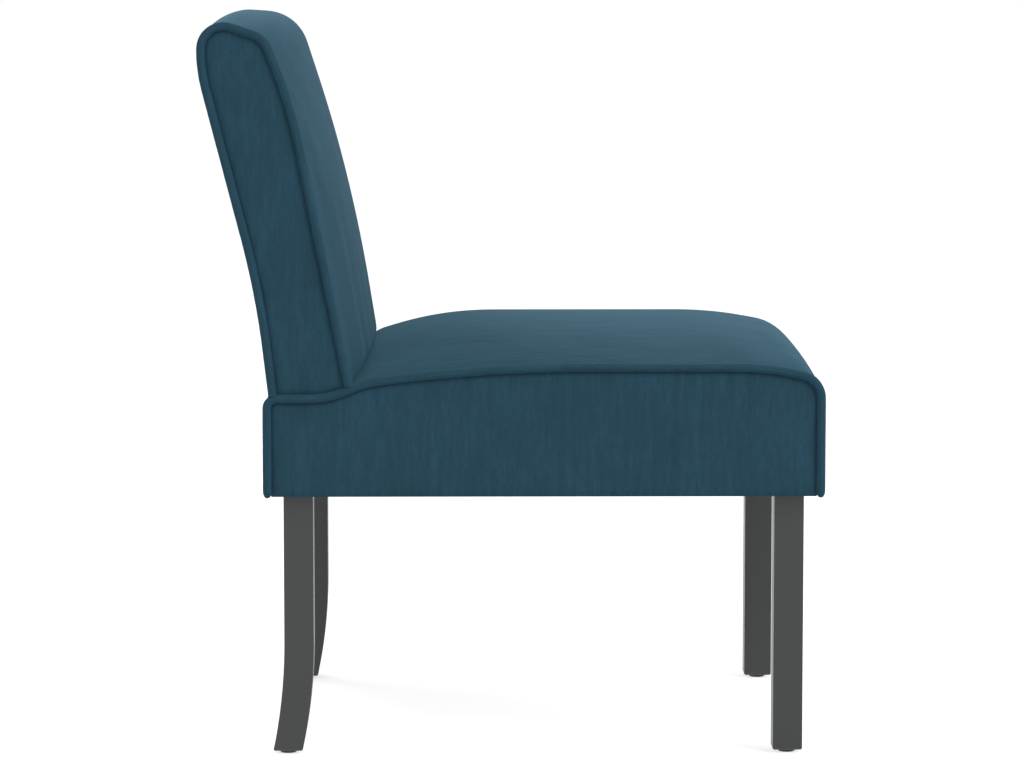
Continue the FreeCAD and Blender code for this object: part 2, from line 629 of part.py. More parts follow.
def finish_leg(body, corner, x_in, y_in, foot_y):
    """The parts that all legs share: brace flat, bolt hole and nail hole."""
    half, flat = "Lines.leg_half", "Sizes.leg_notch"
    notch = sketch_on(body, f"leg_flat_{corner}", "XY_Plane", "Lines.seat_bottom")
    draw_outline(notch, ((f"{x_in} * {half}", f"{y_in} * {half}"),
                         (f"{x_in} * ({half} - {flat})", f"{y_in} * {half}"),
                         (f"{x_in} * {half}", f"{y_in} * ({half} - {flat})")))
    pocket = body.newObject("PartDesign::Pocket", f"leg_flat_cut_{corner}")
    pocket.Profile = notch
    pocket.Reversed = True
    pocket.setExpression("Length", "Lines.leg_top")
    notch.Visibility = False
    centre = f"({half} - {flat} / 2)"
    drill(body, f"leg_bolt_bore_{corner}", "Sizes.bolt_width / 2", "Sizes.leg_bolt_grip",
          (f"{x_in} * {centre}", f"{y_in} * {centre}", "Lines.leg_bolt_z"), (-x_in, -y_in, 0))
    drill(body, f"nail_bore_{corner}", "Sizes.nail_width / 2", "Sizes.nail_length",
          ("0", foot_y, "Sizes.glide_height"), (0, 0, 1))


def chamfer_foot(body, base):
    """Break the four edges round the foot."""
    doc.recompute()
    floor = base.Shape.BoundBox.ZMin
    names = []
    for index, edge in enumerate(base.Shape.Edges, start=1):
        if abs(edge.BoundBox.ZMax - floor) < TOUCH:
            names.append(f"Edge{index}")
    feature = body.newObject("PartDesign::Chamfer", base.Name + "_foot")
    feature.Base = (base, names)
    feature.setExpression("Size", "Sizes.foot_chamfer")
    return feature


def legs():
    """Straight square front legs and sabre rear legs."""
    half = "Lines.leg_half"
    low, high = "Sizes.glide_height", "Lines.leg_top"
    for side, sign in SIDES:
        corner = f"front_{side}"
        body = doc.addObject("PartDesign::Body", f"front_leg_{side}")
        sketch = sketch_on(body, f"leg_outline_{corner}", "YZ_Plane")
        draw_outline(sketch, ((f"-{half}", low), (half, low), (half, high), (f"-{half}", high)))
        stock = pad(body, sketch, "Sizes.leg_side", midplane=True)
        chamfer_foot(body, stock)
        finish_leg(body, corner, -sign, 1, "0")
        place(body, f"{sign} * Lines.leg_x", "Lines.front_leg_y", "0")
        keep(body)
    sweep, knee = "Sizes.sabre_sweep", "Sizes.sabre_start"
    radius = "Lines.curve_radius"
    for side, sign in SIDES:
        corner = f"rear_{side}"
        body = doc.addObject("PartDesign::Body", f"rear_leg_{side}")
        sketch = sketch_on(body, f"leg_outline_{corner}", "YZ_Plane")
        outline = ((f"{sweep} - {half}", low), (f"{sweep} + {half}", low), (half, knee), (half, high),
                   (f"-{half}", high), (f"-{half}", knee))
        arcs = {1: (radius, f"{half} + {radius}", knee), 5: (radius, f"{radius} - {half}", knee)}
        draw_outline(sketch, outline, arcs)
        stock = pad(body, sketch, "Sizes.leg_side", midplane=True)
        chamfer_foot(body, stock)
        finish_leg(body, corner, -sign, -1, sweep)
        place(body, f"{sign} * Lines.leg_x", "Lines.rear_leg_y", "0")
        keep(body)


def leg_glides():
    """A domed nail-on glide under each foot."""
    rim, tall, nail = "Sizes.glide_width / 2", "Sizes.glide_height", "Sizes.nail_width / 2"
    bevel = "Sizes.glide_bevel"
    tip = "Sizes.glide_height + Sizes.nail_length"
    for corner, x_sign, y_sign, _ in corner_names():
        body = doc.addObject("PartDesign::Body", f"leg_glide_{corner}")
        sketch = sketch_on(body, f"glide_outline_{corner}", "XZ_Plane")
        draw_outline(sketch, (("0", "0"), (f"{rim} - {bevel}", "0"), (rim, bevel), (rim, tall),
                              (nail, tall), (nail, tip), ("0", tip)))
        turned = body.newObject("PartDesign::Revolution", f"glide_turn_{corner}")
        turned.Profile = sketch
        turned.ReferenceAxis = (sketch, ["V_Axis"])
        turned.Angle = 360
        sketch.Visibility = False
        y = "Lines.front_leg_y" if y_sign < 0 else "Lines.rear_leg_y + Sizes.sabre_sweep"
        place(body, f"{x_sign} * Lines.leg_x", y, "0")
        keep(body)


def back_fasteners():
    """Coach screws up through the deck board into the back's lower rail, each on a washer."""
    screws, washers, bores = [], [], []
    up = (0, 0, 1)
    y = "Lines.back_screw_y"
    washer_foot = "Lines.rail_top - Sizes.washer_thickness"
    head_foot = f"{washer_foot} - Sizes.nut_height"
    length = f"Lines.back_foot + Sizes.screw_reach - ({washer_foot})"
    places = ("-Lines.screw_outer", "-Lines.screw_inner", "Lines.screw_inner", "Lines.screw_outer")
    for index, x in enumerate(places, start=1):
        shank = rod(f"screw_shank_{index}", "Sizes.bolt_width / 2", length, (x, y, washer_foot), up)
        head = hexagon(f"screw_head_{index}", "Sizes.nut_width", "Sizes.nut_height", (x, y, head_foot), up)
        screw = doc.addObject("Part::Fuse", f"back_screw_{index}")
        screw.Base = shank
        screw.Tool = head
        screws.append(screw)
        disc = rod(f"screw_disc_{index}", "Sizes.washer_width / 2", "Sizes.washer_thickness",
                   (x, y, washer_foot), up)
        washers.append(cut(f"screw_washer_{index}", disc, shank))
        bores.append(rod(f"board_bore_{index}", "(Sizes.bolt_width + Sizes.bolt_play) / 2",
                         "Lines.back_foot - Lines.rail_top", (x, y, "Lines.rail_top"), up))
    keep(group("back_washers", washers))
    return group("screw_bores", bores), keep(group("back_screws", screws))


def deck_board(bores):
    """The board behind the seat cushion that the back is bolted down on."""
    blank = box("deck_board_blank", ("2 * Lines.wood_face", "Sizes.board_depth", "Sizes.board_thickness"),
                ("-Lines.wood_face", "Lines.board_front", "Lines.rail_top"))
    return keep(cut("deck_board", blank, bores))


def seat_webbing():
    """Straps over the rails: one layer front to rear, and one across it."""
    along_count, across_count = int(S.seat_straps_along), int(S.seat_straps_across)
    thick, wide = "Sizes.strap_thickness", "Sizes.strap_width"
    along = []
    for index in range(along_count):
        x = f"Lines.leg_face * {(2 * index + 1 - along_count) / along_count} - Sizes.strap_width / 2"
        y = "Lines.front_line + Sizes.strap_front_gap"
        length = "Lines.board_front - Lines.front_line - Sizes.strap_front_gap"
        along.append(box(f"strap_along_{index}", (wide, length, thick), (x, y, "Lines.rail_top")))
    keep(group("seat_webbing_lengthwise", along))
    across = []
    low, high = "Lines.rail_top", "Lines.rail_top + Sizes.strap_thickness"
    top = "Lines.rail_top + 2 * Sizes.strap_thickness"
    end, step = "(Lines.wood_face - Sizes.strap_end_gap)", "(Lines.leg_face - Sizes.strap_end_gap)"
    outline = ((f"-{end}", low), (f"-{step} - {thick}", low), (f"-{step}", high), (step, high),
               (f"{step} + {thick}", low), (end, low), (end, high), (f"{step} + {thick}", high),
               (step, top), (f"-{step}", top), (f"-{step} - {thick}", high), (f"-{end}", high))
    span = "(Lines.board_front - Lines.front_inner)"
    for index in range(across_count):
        body = doc.addObject("PartDesign::Body", f"strap_across_{index}")
        sketch = sketch_on(body, f"strap_outline_{index}", "XZ_Plane")
        draw_outline(sketch, outline)
        pad(body, sketch, wide, midplane=True)
        place(body, "0", f"Lines.front_inner + {span} * {(2 * index + 1) / (2 * across_count)}", "0")
        across.append(body)
    keep(group("seat_webbing_crosswise", across))


def seat_upholstery(bores):
    """Crowned foam, the wrapped cover round it, side panels, welts and the sheet underneath."""
    wood = L.wood_face
    cover_inside = seat_form(S.padding, wood + CUT_MARGIN, L.rail_bottom)
    opening = block(-L.leg_face, L.leg_face, L.front_inner, L.rear_inner, 0, L.rail_bottom + CUT_MARGIN)
    cover = seat_form(0, wood, L.seat_bottom).cut(cover_inside)
    cover = cover.cut(opening).cut(bores.Shape)
    moulded("seat_cover", cover)
    foam_room = block(-wood, wood, L.front_line - S.front_bulge, L.board_front - S.lap,
                      L.web_top + S.lap, L.crown_height)
    foam = seat_form(S.padding + S.lap / 2, wood, L.rail_bottom).common(foam_room)
    moulded("seat_foam", foam)
    panel = with_bottom(grown(seat_side(), -L.welt_radius - S.lap / 2), L.seat_bottom)
    for side, sign in SIDES:
        start = wood if sign > 0 else -L.panel_face
        moulded(f"seat_side_panel_{side}", slab(panel, start, S.side_padding))
        moulded(f"seat_welt_{side}", welt(seat_side(), sign * L.panel_face))


def welt(corners, x):
    """A covered cord swept along an outline from its first corner to its last."""
    path = Part.Wire(outline_edges(corners, x, closed=False))
    foot = FreeCAD.Vector(x, corners[0][0], corners[0][1])
    way = FreeCAD.Vector(0, corners[1][0] - corners[0][0], corners[1][1] - corners[0][1]).normalize()
    across = FreeCAD.Vector(1, 0, 0)
    out = way.cross(across)
    ring = []
    for index in range(WELT_SIDES + 1):
        angle = 2 * math.pi * index / WELT_SIDES
        ring.append(foot + (across * math.cos(angle) + out * math.sin(angle)) * L.welt_radius)
    return path.makePipeShell([Part.makePolygon(ring)], True, False)


def dust_cover():
    """A thin sheet closing the underside, slit round the legs."""
    inset = "Sizes.dust_cover_margin"
    sheet = box("dust_sheet", (f"2 * (Lines.wood_face - {inset})",
                               f"Sizes.seat_depth - 2 * {inset}", "Sizes.dust_cover_thickness"),
                (f"{inset} - Lines.wood_face", f"Lines.front_line + {inset}",
                 "Lines.seat_bottom - Sizes.dust_cover_thickness"))
    slits = []
    for corner, x_sign, y_sign, _ in corner_names():
        y = "Lines.front_leg_y" if y_sign < 0 else "Lines.rear_leg_y"
        size = "(Sizes.leg_side + Sizes.lap)"
        slits.append(box(f"leg_slit_{corner}", (size, size, "4 * Sizes.dust_cover_thickness"),
                         (f"{x_sign} * Lines.leg_x - {size} / 2", f"{y} - {size} / 2",
                          "Lines.seat_bottom - 2 * Sizes.dust_cover_thickness")))
    keep(cut("dust_cover", sheet, group("leg_slits", slits)))


def back_stiles():
    """Two bent side posts that follow the back's rear edge."""
    outline = (("Lines.stile_foot_front_y", "Lines.back_foot"),
               ("Lines.stile_foot_rear_y", "Lines.back_foot"),
               ("Lines.stile_bend_rear_y", "Lines.stile_bend_rear_z"),
               ("Lines.stile_top_rear_y", "Lines.stile_top_rear_z"),
               ("Lines.stile_top_front_y", "Lines.stile_top_front_z"),
               ("Lines.stile_bend_front_y", "Lines.stile_bend_front_z"))
    for side, sign in SIDES:
        body = doc.addObject("PartDesign::Body", f"back_stile_{side}")
        sketch = sketch_on(body, f"stile_outline_{side}", "YZ_Plane")
        draw_outline(sketch, outline)
        stock = pad(body, sketch, "Sizes.stile_thickness", midplane=True)
        doc.recompute()
        bends = []
        for index, edge in enumerate(stock.Shape.Edges, start=1):
            middle = edge.CenterOfMass
            for y, z in (outline[2], outline[5]):
                if math.hypot(middle.y - number(y), middle.z - number(z)) < TOUCH:
                    bends.append(f"Edge{index}")
        rounding = body.newObject("PartDesign::Fillet", f"stile_bend_{side}")
        rounding.Base = (stock, bends)
        rounding.setExpression("Radius", "Sizes.stile_round")
        place(body, f"{sign} * (Lines.wood_face - Sizes.stile_thickness / 2)", "0", "0")
        keep(body)


def back_rails(screws):
    """A lower rail that the screws bite in and a top rail, both between the stiles."""
    slope = "tan(Lines.low_lean * 1deg)"
    rise = "Sizes.lower_rail_height"
    body = doc.addObject("PartDesign::Body", "back_lower_rail_blank")
    sketch = sketch_on(body, "lower_rail_outline", "YZ_Plane")
    draw_outline(sketch, (("Lines.stile_foot_front_y", "Lines.back_foot"),
                          ("Lines.stile_foot_rear_y", "Lines.back_foot"),
                          (f"Lines.stile_foot_rear_y + {rise} * {slope}", "Lines.lower_rail_top"),
                          (f"Lines.stile_foot_front_y + {rise} * {slope}", "Lines.lower_rail_top")))
    pad(body, sketch, "2 * Lines.stile_inner", midplane=True)
    keep(cut("back_lower_rail", body, screws))
    lean_sin, lean_cos = "sin(Lines.high_lean * 1deg)", "cos(Lines.high_lean * 1deg)"
    tall = "Sizes.top_rail_height"
    body = doc.addObject("PartDesign::Body", "back_top_rail")
    sketch = sketch_on(body, "top_rail_outline", "YZ_Plane")
    draw_outline(sketch, ((f"Lines.stile_top_front_y - {tall} * {lean_sin}",
                           f"Lines.stile_top_front_z - {tall} * {lean_cos}"),
                          (f"Lines.stile_top_rear_y - {tall} * {lean_sin}",
                           f"Lines.stile_top_rear_z - {tall} * {lean_cos}"),
                          ("Lines.stile_top_rear_y", "Lines.stile_top_rear_z"),
                          ("Lines.stile_top_front_y", "Lines.stile_top_front_z")))
    pad(body, sketch, "2 * Lines.stile_inner", midplane=True)
    keep(body)


def back_webbing():
    """Straps across the front edges of the stiles."""
    straps = []
    lean_sin, lean_cos = "sin(Lines.high_lean * 1deg)", "cos(Lines.high_lean * 1deg)"
    for index in range(int(S.back_straps)):
        way = f"(Sizes.back_strap_start + {index} * Sizes.back_strap_pitch) * Lines.stile_length"
        strap = doc.addObject("Part::Box", f"back_strap_{index}")
        bind(strap, {"Length": "2 * Lines.wood_face", "Width": "Sizes.strap_thickness",
                     "Height": "Sizes.strap_width"})
        y = f"Lines.stile_bend_front_y + {way} * {lean_sin} - Sizes.strap_thickness * {lean_cos}"
        z = f"Lines.stile_bend_front_z + {way} * {lean_cos} + Sizes.strap_thickness * {lean_sin}"
        strap.Placement.Rotation = FreeCAD.Rotation(FreeCAD.Vector(1, 0, 0), -L.high_lean)
        place(strap, "-Lines.wood_face", y, z)
        straps.append(strap)
    keep(group("back_webbing", straps))


def frame_room():
    """The room inside the back's foam that the stiles, rails and webbing fill."""
    low_slope = L.low_run / L.low_rise
    sink = L.back_foot - L.rail_top
    corners = [
        (L.stile_foot_front_y - sink * low_slope, L.rail_top, 0),
        (L.stile_foot_rear_y - sink * low_slope, L.rail_top, 0),
        (L.stile_bend_rear_y, L.stile_bend_rear_z, 0),
        (L.stile_top_rear_y, L.stile_top_rear_z, 0),
        (L.stile_top_front_y, L.stile_top_front_z, 0),
        (L.stile_bend_front_y, L.stile_bend_front_z, 0),
    ]
    width = L.panel_face
    return slab(grown(corners, S.strap_thickness + S.lap / 2), -width, 2 * width)


def back_upholstery(bores):
    """Crowned foam and wrapped cover of the back, trimmed to the seat, with side panels and welts."""
    wood = L.wood_face
    seat_top = L.rail_bottom
    trim_cover = seat_form(-S.lap, wood + CUT_MARGIN, seat_top)
    trim_inside = seat_form(-S.lap - S.padding, wood + 2 * CUT_MARGIN, seat_top)
    inside = back_form(S.padding, wood + CUT_MARGIN).cut(trim_inside)
    cover = back_form(0, wood).cut(trim_cover).cut(inside).cut(bores.Shape)
    moulded("back_cover", cover)
    foam = back_form(S.padding + S.lap / 2, wood).cut(trim_inside).cut(frame_room())
    moulded("back_foam", foam)
    over_welt = grown(seat_side(), L.welt_radius + S.lap)
    panel = grown(back_side(), -L.welt_radius - S.lap / 2)
    near, far = wood - S.lap, L.panel_face + S.welt_thickness
    for side, sign in SIDES:
        start = wood if sign > 0 else -L.panel_face
        trim = slab(over_welt, near if sign > 0 else -far, far - near)
        moulded(f"back_side_panel_{side}", slab(panel, start, S.side_padding).cut(trim))
        moulded(f"back_welt_{side}", welt(back_side(), sign * L.panel_face).cut(trim))


def check_and_write():
    """Stop at any piece that failed, then write each one to its own file."""
    doc.recompute()
    for thing in doc.Objects:
        if "Invalid" in thing.State or "Error" in thing.State:
            raise RuntimeError(f"{thing.Name}: {thing.State}")
    for node in nodes:
        if node.Shape.isNull() or not node.Shape.isValid():
            raise RuntimeError(f"{node.Label} has no sound shape")
    os.makedirs("parts", exist_ok=True)
    for node in nodes:
        node.Shape.exportStep(f"parts/{node.Label}.step")


def main():
    """Build the chair from the floor up."""
    seat_rails()
    corner_braces()
    leg_fasteners()
    legs()
    leg_glides()
    bores, screws = back_fasteners()
    deck_board(bores)
    seat_webbing()
    doc.recompute()
    seat_upholstery(bores)
    dust_cover()
    back_stiles()
    back_rails(screws)
    back_webbing()
    back_upholstery(bores)
    check_and_write()


main()
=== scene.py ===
import math

import bpy
import numpy as np
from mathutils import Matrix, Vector


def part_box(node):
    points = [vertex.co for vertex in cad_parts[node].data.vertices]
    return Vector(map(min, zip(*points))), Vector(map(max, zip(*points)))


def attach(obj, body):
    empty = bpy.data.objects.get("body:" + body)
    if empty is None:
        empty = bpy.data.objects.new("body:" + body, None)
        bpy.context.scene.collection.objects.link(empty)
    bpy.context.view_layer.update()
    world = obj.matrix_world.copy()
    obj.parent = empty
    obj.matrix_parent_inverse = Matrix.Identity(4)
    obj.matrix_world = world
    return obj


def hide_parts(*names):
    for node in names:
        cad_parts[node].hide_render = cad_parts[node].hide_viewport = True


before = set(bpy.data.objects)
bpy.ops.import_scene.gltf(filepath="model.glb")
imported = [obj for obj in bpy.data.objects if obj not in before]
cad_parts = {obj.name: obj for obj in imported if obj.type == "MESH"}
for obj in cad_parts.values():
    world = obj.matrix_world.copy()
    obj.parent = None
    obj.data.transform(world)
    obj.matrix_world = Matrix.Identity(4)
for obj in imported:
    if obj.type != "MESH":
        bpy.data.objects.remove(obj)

bl_info = {
    "name": "Slipper chair",
    "version": (1, 0, 0),
    "blender": (4, 5, 0),
    "location": "3D View > Sidebar > Chair",
    "description": "Velvet slipper chair dressed round its frame",
    "category": "Object",
}

# The chair stands on the floor at z 0, its sitter faces -Y and the sitter's left is +X.
# Outlines are (y, z, reach) corners in millimetres, reach being how far a rounding starts from its corner.
MM = 0.001
X, Y, Z = 0, 1, 2
LOW, HIGH = 0, 1
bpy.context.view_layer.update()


def measured(node, end, axis):
    """One face of a CAD piece's box, in millimetres."""
    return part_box(node)[end][axis] / MM


FRONT = measured("seat_rail_front", LOW, Y)
REAR = measured("seat_rail_rear", HIGH, Y)
WOOD = measured("seat_rail_front", HIGH, X)
PANEL = measured("seat_side_panel_left", HIGH, X)
BOTTOM = measured("seat_cover", LOW, Z)
DECK = measured("deck_board", HIGH, Z)
CORD = measured("seat_welt_left", HIGH, X) - PANEL
CREST = measured("seat_cover", HIGH, Z)
BACK_REAR = measured("back_welt_left", HIGH, Y) - CORD
SIDES = (("left", 1), ("right", -1))
WRAP = 2.0  # thickness of the velvet with its backing
LAP = 0.5  # overlap of a panel's edge and the cord sewn in beside it, half of it on each
LEG = 31.0  # side of a leg's square section
SLACK_EASE = 60.0  # distance from a side seam over which the cloth's slack comes in
FOOT_SINK = 1.5  # how far the back's foot presses into the seat's velvet
BURIED = 18.0  # how far below the deck the back's outlines start, before the seat cuts them
CROWN_FULLNESS = 2.5  # power of the crown's curve from the middle line to a side seam
TUCK_REACH = 2.6  # width of the dip beside a seam
RAIL_ROUNDNESS = 3  # rounding of the seat's rails, in roundings of a leg's edge
SIDE_RISE = 32.5  # deck up to the welt line along the seat's side
BEND = 490.0  # height of the bend in the back's rear edge
BEND_OUTSET = 6.5  # how far that bend stands behind the seat's rear welt line
FOOT_INSET = 6.5  # how far the back's foot stands in front of that line
SHOULDER = 720.0  # height from which the rear edge stands upright
EDGE_TOP = 774.7
EDGE_CHEST = 690.7  # height at which the front edge starts to lean back more
EDGE_LEAN = math.tan(math.radians(11.3))
CREST_TOP = 781.0
CREST_CHEST = 590.0
CREST_LEAN = math.tan(math.radians(9))
CREST_SWELL = 9.0  # how far the middle of the back's rear stands behind its edge, low down


def seat_edge():
    """Welt line of the seat's side, from the rear bottom round to the front bottom."""
    side = DECK + SIDE_RISE
    return [(REAR, BOTTOM, 0), (REAR, DECK, 10), (REAR - 65.5, DECK, 22), (REAR - 102, DECK + 16.5, 15),
            (REAR - 231, side, 104), (FRONT + 55, side, 32), (FRONT, DECK + 19.7, 20), (FRONT, BOTTOM, 0)]


def seat_crest():
    """Surface of the seat on its middle line, corner for corner with its edge."""
    front, rear, deck = FRONT - 4.5, REAR + 4, DECK + WRAP
    return [(rear, BOTTOM, 0), (rear, deck, 8), (REAR - 86.7, deck, 22), (REAR - 103, CREST - 25.5, 12),
            (REAR - 168.5, CREST, 56), (front + 107, CREST, 40), (front, CREST - 19, 54), (front, BOTTOM, 0)]


def back_foot(low):
    """Foot of the back's rear edge, its line carried down to a height below the deck."""
    slope = (BEND_OUTSET + FOOT_INSET) / (BEND - DECK)
    return REAR - FOOT_INSET - (DECK - low) * slope, low, 0


def back_edge():
    """Welt line of the back's side, from its rear foot over the top to its front foot."""
    rear, low = BACK_REAR - 1, DECK - BURIED
    chest = rear - 91.5
    return [back_foot(low), (REAR + BEND_OUTSET, BEND, 60), (rear, SHOULDER, 21), (rear, EDGE_TOP, 32.7),
            (rear - 64.5, EDGE_TOP - 20.7, 11), (chest, EDGE_CHEST, 50),
            (chest - (EDGE_CHEST - low) * EDGE_LEAN, low, 0)]


def back_crest():
    """Surface of the back on its middle line, corner for corner with its edge."""
    rear, low = BACK_REAR + 7, DECK - BURIED
    chest = rear - 156
    foot, *_ = back_foot(low)
    return [(foot + CREST_SWELL, low, 0), (REAR + BEND_OUTSET + CREST_SWELL, BEND, 60), (rear, SHOULDER - 5, 21),
            (rear, CREST_TOP, 44), (rear - 96, CREST_TOP - 5.5, 34), (chest, CREST_CHEST, 120),
            (chest - (CREST_CHEST - low) * CREST_LEAN, low, 0)]


def unit(vector):
    """A vector of length one."""
    return vector / np.linalg.norm(vector)


def grown(corners, amount):
    """The outline with every edge moved outwards by an amount and its roundings kept concentric."""
    points = np.array([corner[:2] for corner in corners], float)
    leaving = np.roll(points, -1, 0) - points
    leaving /= np.linalg.norm(leaving, axis=1)[:, None]
    arriving = np.roll(leaving, 1, 0)
    before = np.stack([arriving[:, 1], -arriving[:, 0]], 1)
    after = np.stack([leaving[:, 1], -leaving[:, 0]], 1)
    moved = points + amount * (before + after) / (1 + (before * after).sum(1))[:, None]
    cross = arriving[:, 0] * leaving[:, 1] - arriving[:, 1] * leaving[:, 0]
    turns = np.arctan2(cross, (arriving * leaving).sum(1))
    return [(y, z, corner[2] + amount * math.tan(turn / 2) if corner[2] else 0)
            for (y, z), corner, turn in zip(moved, corners, turns)]


def blended(first, second, share):
    """The outline that lies a share of the way from the first outline to the second."""
    return [tuple(a + (b - a) * share for a, b in zip(one, other)) for one, other in zip(first, second)]


def run_points(start, end, steps):
    """Points from start to end, without the start."""
    shares = np.arange(1, steps + 1)[:, None] / steps
    return list(start + (end - start) * shares)


def arc_points(start, corner, end, steps):
    """Points on the circular arc that turns a corner, without its start."""
    weight = math.sqrt(max(0.0, (1 + unit(corner - start) @ unit(end - corner)) / 2))
    points = []
    for share in np.arange(1, steps + 1) / steps:
        pulls = np.array([(1 - share) ** 2, 2 * weight * share * (1 - share), share ** 2])
        points.append((pulls[0] * start + pulls[1] * corner + pulls[2] * end) / pulls.sum())
    return points


def traced(corners, pitch=1.0, counts=None):
    """Points along an open rounded outline, and how many each run and arc got.

    Outlines with the same corners are traced with the same counts, so their points match."""
    points = np.array([corner[:2] for corner in corners], float)
    path, used, start = [points[0]], [], points[0]
    last = len(points) - 1
    for index in range(1, last + 1):
        here, reach = points[index], corners[index][2] if index < last else 0
        arc_start = here + unit(points[index - 1] - here) * reach
        steps = counts[len(used)] if counts else max(1, round(np.linalg.norm(arc_start - start) / pitch))
        used.append(steps)
        path += run_points(start, arc_start, steps)
        start = arc_start
        if reach:
            arc_end = here + unit(points[index + 1] - here) * reach
            steps = counts[len(used)] if counts else max(3, round(2 * reach / pitch))
            used.append(steps)
            path += arc_points(start, here, arc_end, steps)
            start = arc_end
    return np.array(path), used


def crossing(start, end, outline):
    """Where the run from start to end first meets an outline, with the leg of the outline that it meets."""
    best, leg = 2.0, 0
    way = end - start
    for index in range(len(outline) - 1):
        edge = outline[index + 1] - outline[index]
        across = way[0] * edge[1] - way[1] * edge[0]
        if abs(across) < 1e-9:
            continue
        gap = outline[index] - start
        share = (gap[0] * edge[1] - gap[1] * edge[0]) / across
        along = (gap[0] * way[1] - gap[1] * way[0]) / across
        if 0 <= share < best and 0 <= along <= 1:
            best, leg = share, index
    if best > 1:
        raise ValueError("the run doesn't meet the outline")
    return start + way * best, leg


def spread(length, pitch, rim=(1.8, 4.2, 7.6, 12.0, 17.6)):
    """Shares of a length, close together near both ends and about a pitch apart between them."""
    inner = np.linspace(rim[-1], length - rim[-1], max(2, round((length - 2 * rim[-1]) / pitch)))
    ends = np.array([0.0, *rim[:-1]])
    return np.concatenate([ends, inner, (length - ends)[::-1]]) / length


def along(path, shares):
    """Points at shares of a path's length."""
    steps = np.linalg.norm(np.diff(path, axis=0), axis=1)
    length = np.concatenate([[0], np.cumsum(steps)])
    return np.stack([np.interp(shares * length[-1], length, path[:, axis]) for axis in range(path.shape[1])], 1)


def cushion_section(edge, crest, share, growth):
    """Outline of a crowned form at a share of its half width."""
    crown = 1 - abs(share) ** CROWN_FULLNESS
    return grown(blended(grown(edge, WRAP), crest, crown), growth)


def seat_section(share, growth=0.0):
    """Outline of the seat's wrapped velvet at a share of its half width."""
    corners = cushion_section(seat_edge(), seat_crest(), share, growth)
    return [(corners[0][0], BOTTOM, 0)] + corners[1:-1] + [(corners[-1][0], BOTTOM, 0)]


def seat_wrap(share, growth, flap=14.0, fold=3.0):
    """The seat's section with its velvet folded under the rails at both ends."""
    corners = seat_section(share, growth)
    (rear, *_), (front, *_) = corners[0], corners[-1]
    return ([(rear - flap, BOTTOM, 0), (rear, BOTTOM, fold)] + corners[1:-1]
            + [(front, BOTTOM, fold), (front + flap, BOTTOM, 0)])


def back_wrap(share, growth, flap=13.0, fold=3.0, front_fold=9.0):
    """The back's section, ending where it meets the seat, with its velvet folded in along it."""
    corners = cushion_section(back_edge(), back_crest(), share, growth)
    seat, _ = traced(seat_section(share, -FOOT_SINK), 3.0)
    points = [np.array(corner[:2]) for corner in corners]
    rear, leg = crossing(points[1], points[0], seat)
    rear_flap = rear + unit(seat[leg + 1] - seat[leg]) * flap
    front, leg = crossing(points[-2], points[-1], seat)
    front_flap = front - unit(seat[leg + 1] - seat[leg]) * flap
    return ([(*rear_flap, 0), (*rear, fold)] + corners[1:-1] + [(*front, front_fold), (*front_flap, 0)])


# Meshes.
def mesh_object(name, vertices, faces, uvs=None):
    """A smooth mesh object at the origin, from points in millimetres."""
    mesh = bpy.data.meshes.new(name)
    mesh.from_pydata((np.asarray(vertices) * MM).tolist(), [], [list(face) for face in faces])
    mesh.polygons.foreach_set("use_smooth", np.ones(len(mesh.polygons), bool))
    if uvs is not None:
        layer = mesh.uv_layers.new(name="cloth")
        corners = np.zeros(len(mesh.loops), int)
        mesh.loops.foreach_get("vertex_index", corners)
        layer.data.foreach_set("uv", (np.asarray(uvs)[corners] * MM).ravel().astype(np.float32))
    thing = bpy.data.objects.new(name, mesh)
    bpy.context.collection.objects.link(thing)
    return thing


def grid_faces(rows, columns, flip=False, offset=0):
    """Four-sided faces of a grid of points held row by row."""
    i, j = np.meshgrid(np.arange(rows - 1), np.arange(columns - 1), indexing="ij")
    corner = (i * columns + j).ravel() + offset
    faces = np.stack([corner, corner + 1, corner + columns + 1, corner + columns], 1)
    return faces[:, ::-1] if flip else faces


def pad_faces(rows, columns, rim_turned=False):
    """Faces of a closed pad: a grid, the grid behind it, held after it, and the rim between them."""
    count = rows * columns
    ring = ([i * columns for i in range(rows)] + [(rows - 1) * columns + j for j in range(1, columns)]
            + [i * columns + columns - 1 for i in range(rows - 2, -1, -1)] + list(range(columns - 2, 0, -1)))
    rim = [(b, a, a + count, b + count) for a, b in zip(ring, ring[1:] + ring[:1])]
    if rim_turned:
        rim = [(q, p, s, r) for p, q, r, s in rim]
    return [*grid_faces(rows, columns, True), *grid_faces(rows, columns, False, count), *rim]


def grid_normals(grid):
    """Outward unit normals at a grid's points, rows running along +X."""
    down = np.gradient(grid, axis=1)
    across = np.gradient(grid, axis=0)
    normals = np.cross(down, across)
    return normals / np.linalg.norm(normals, axis=2)[..., None]


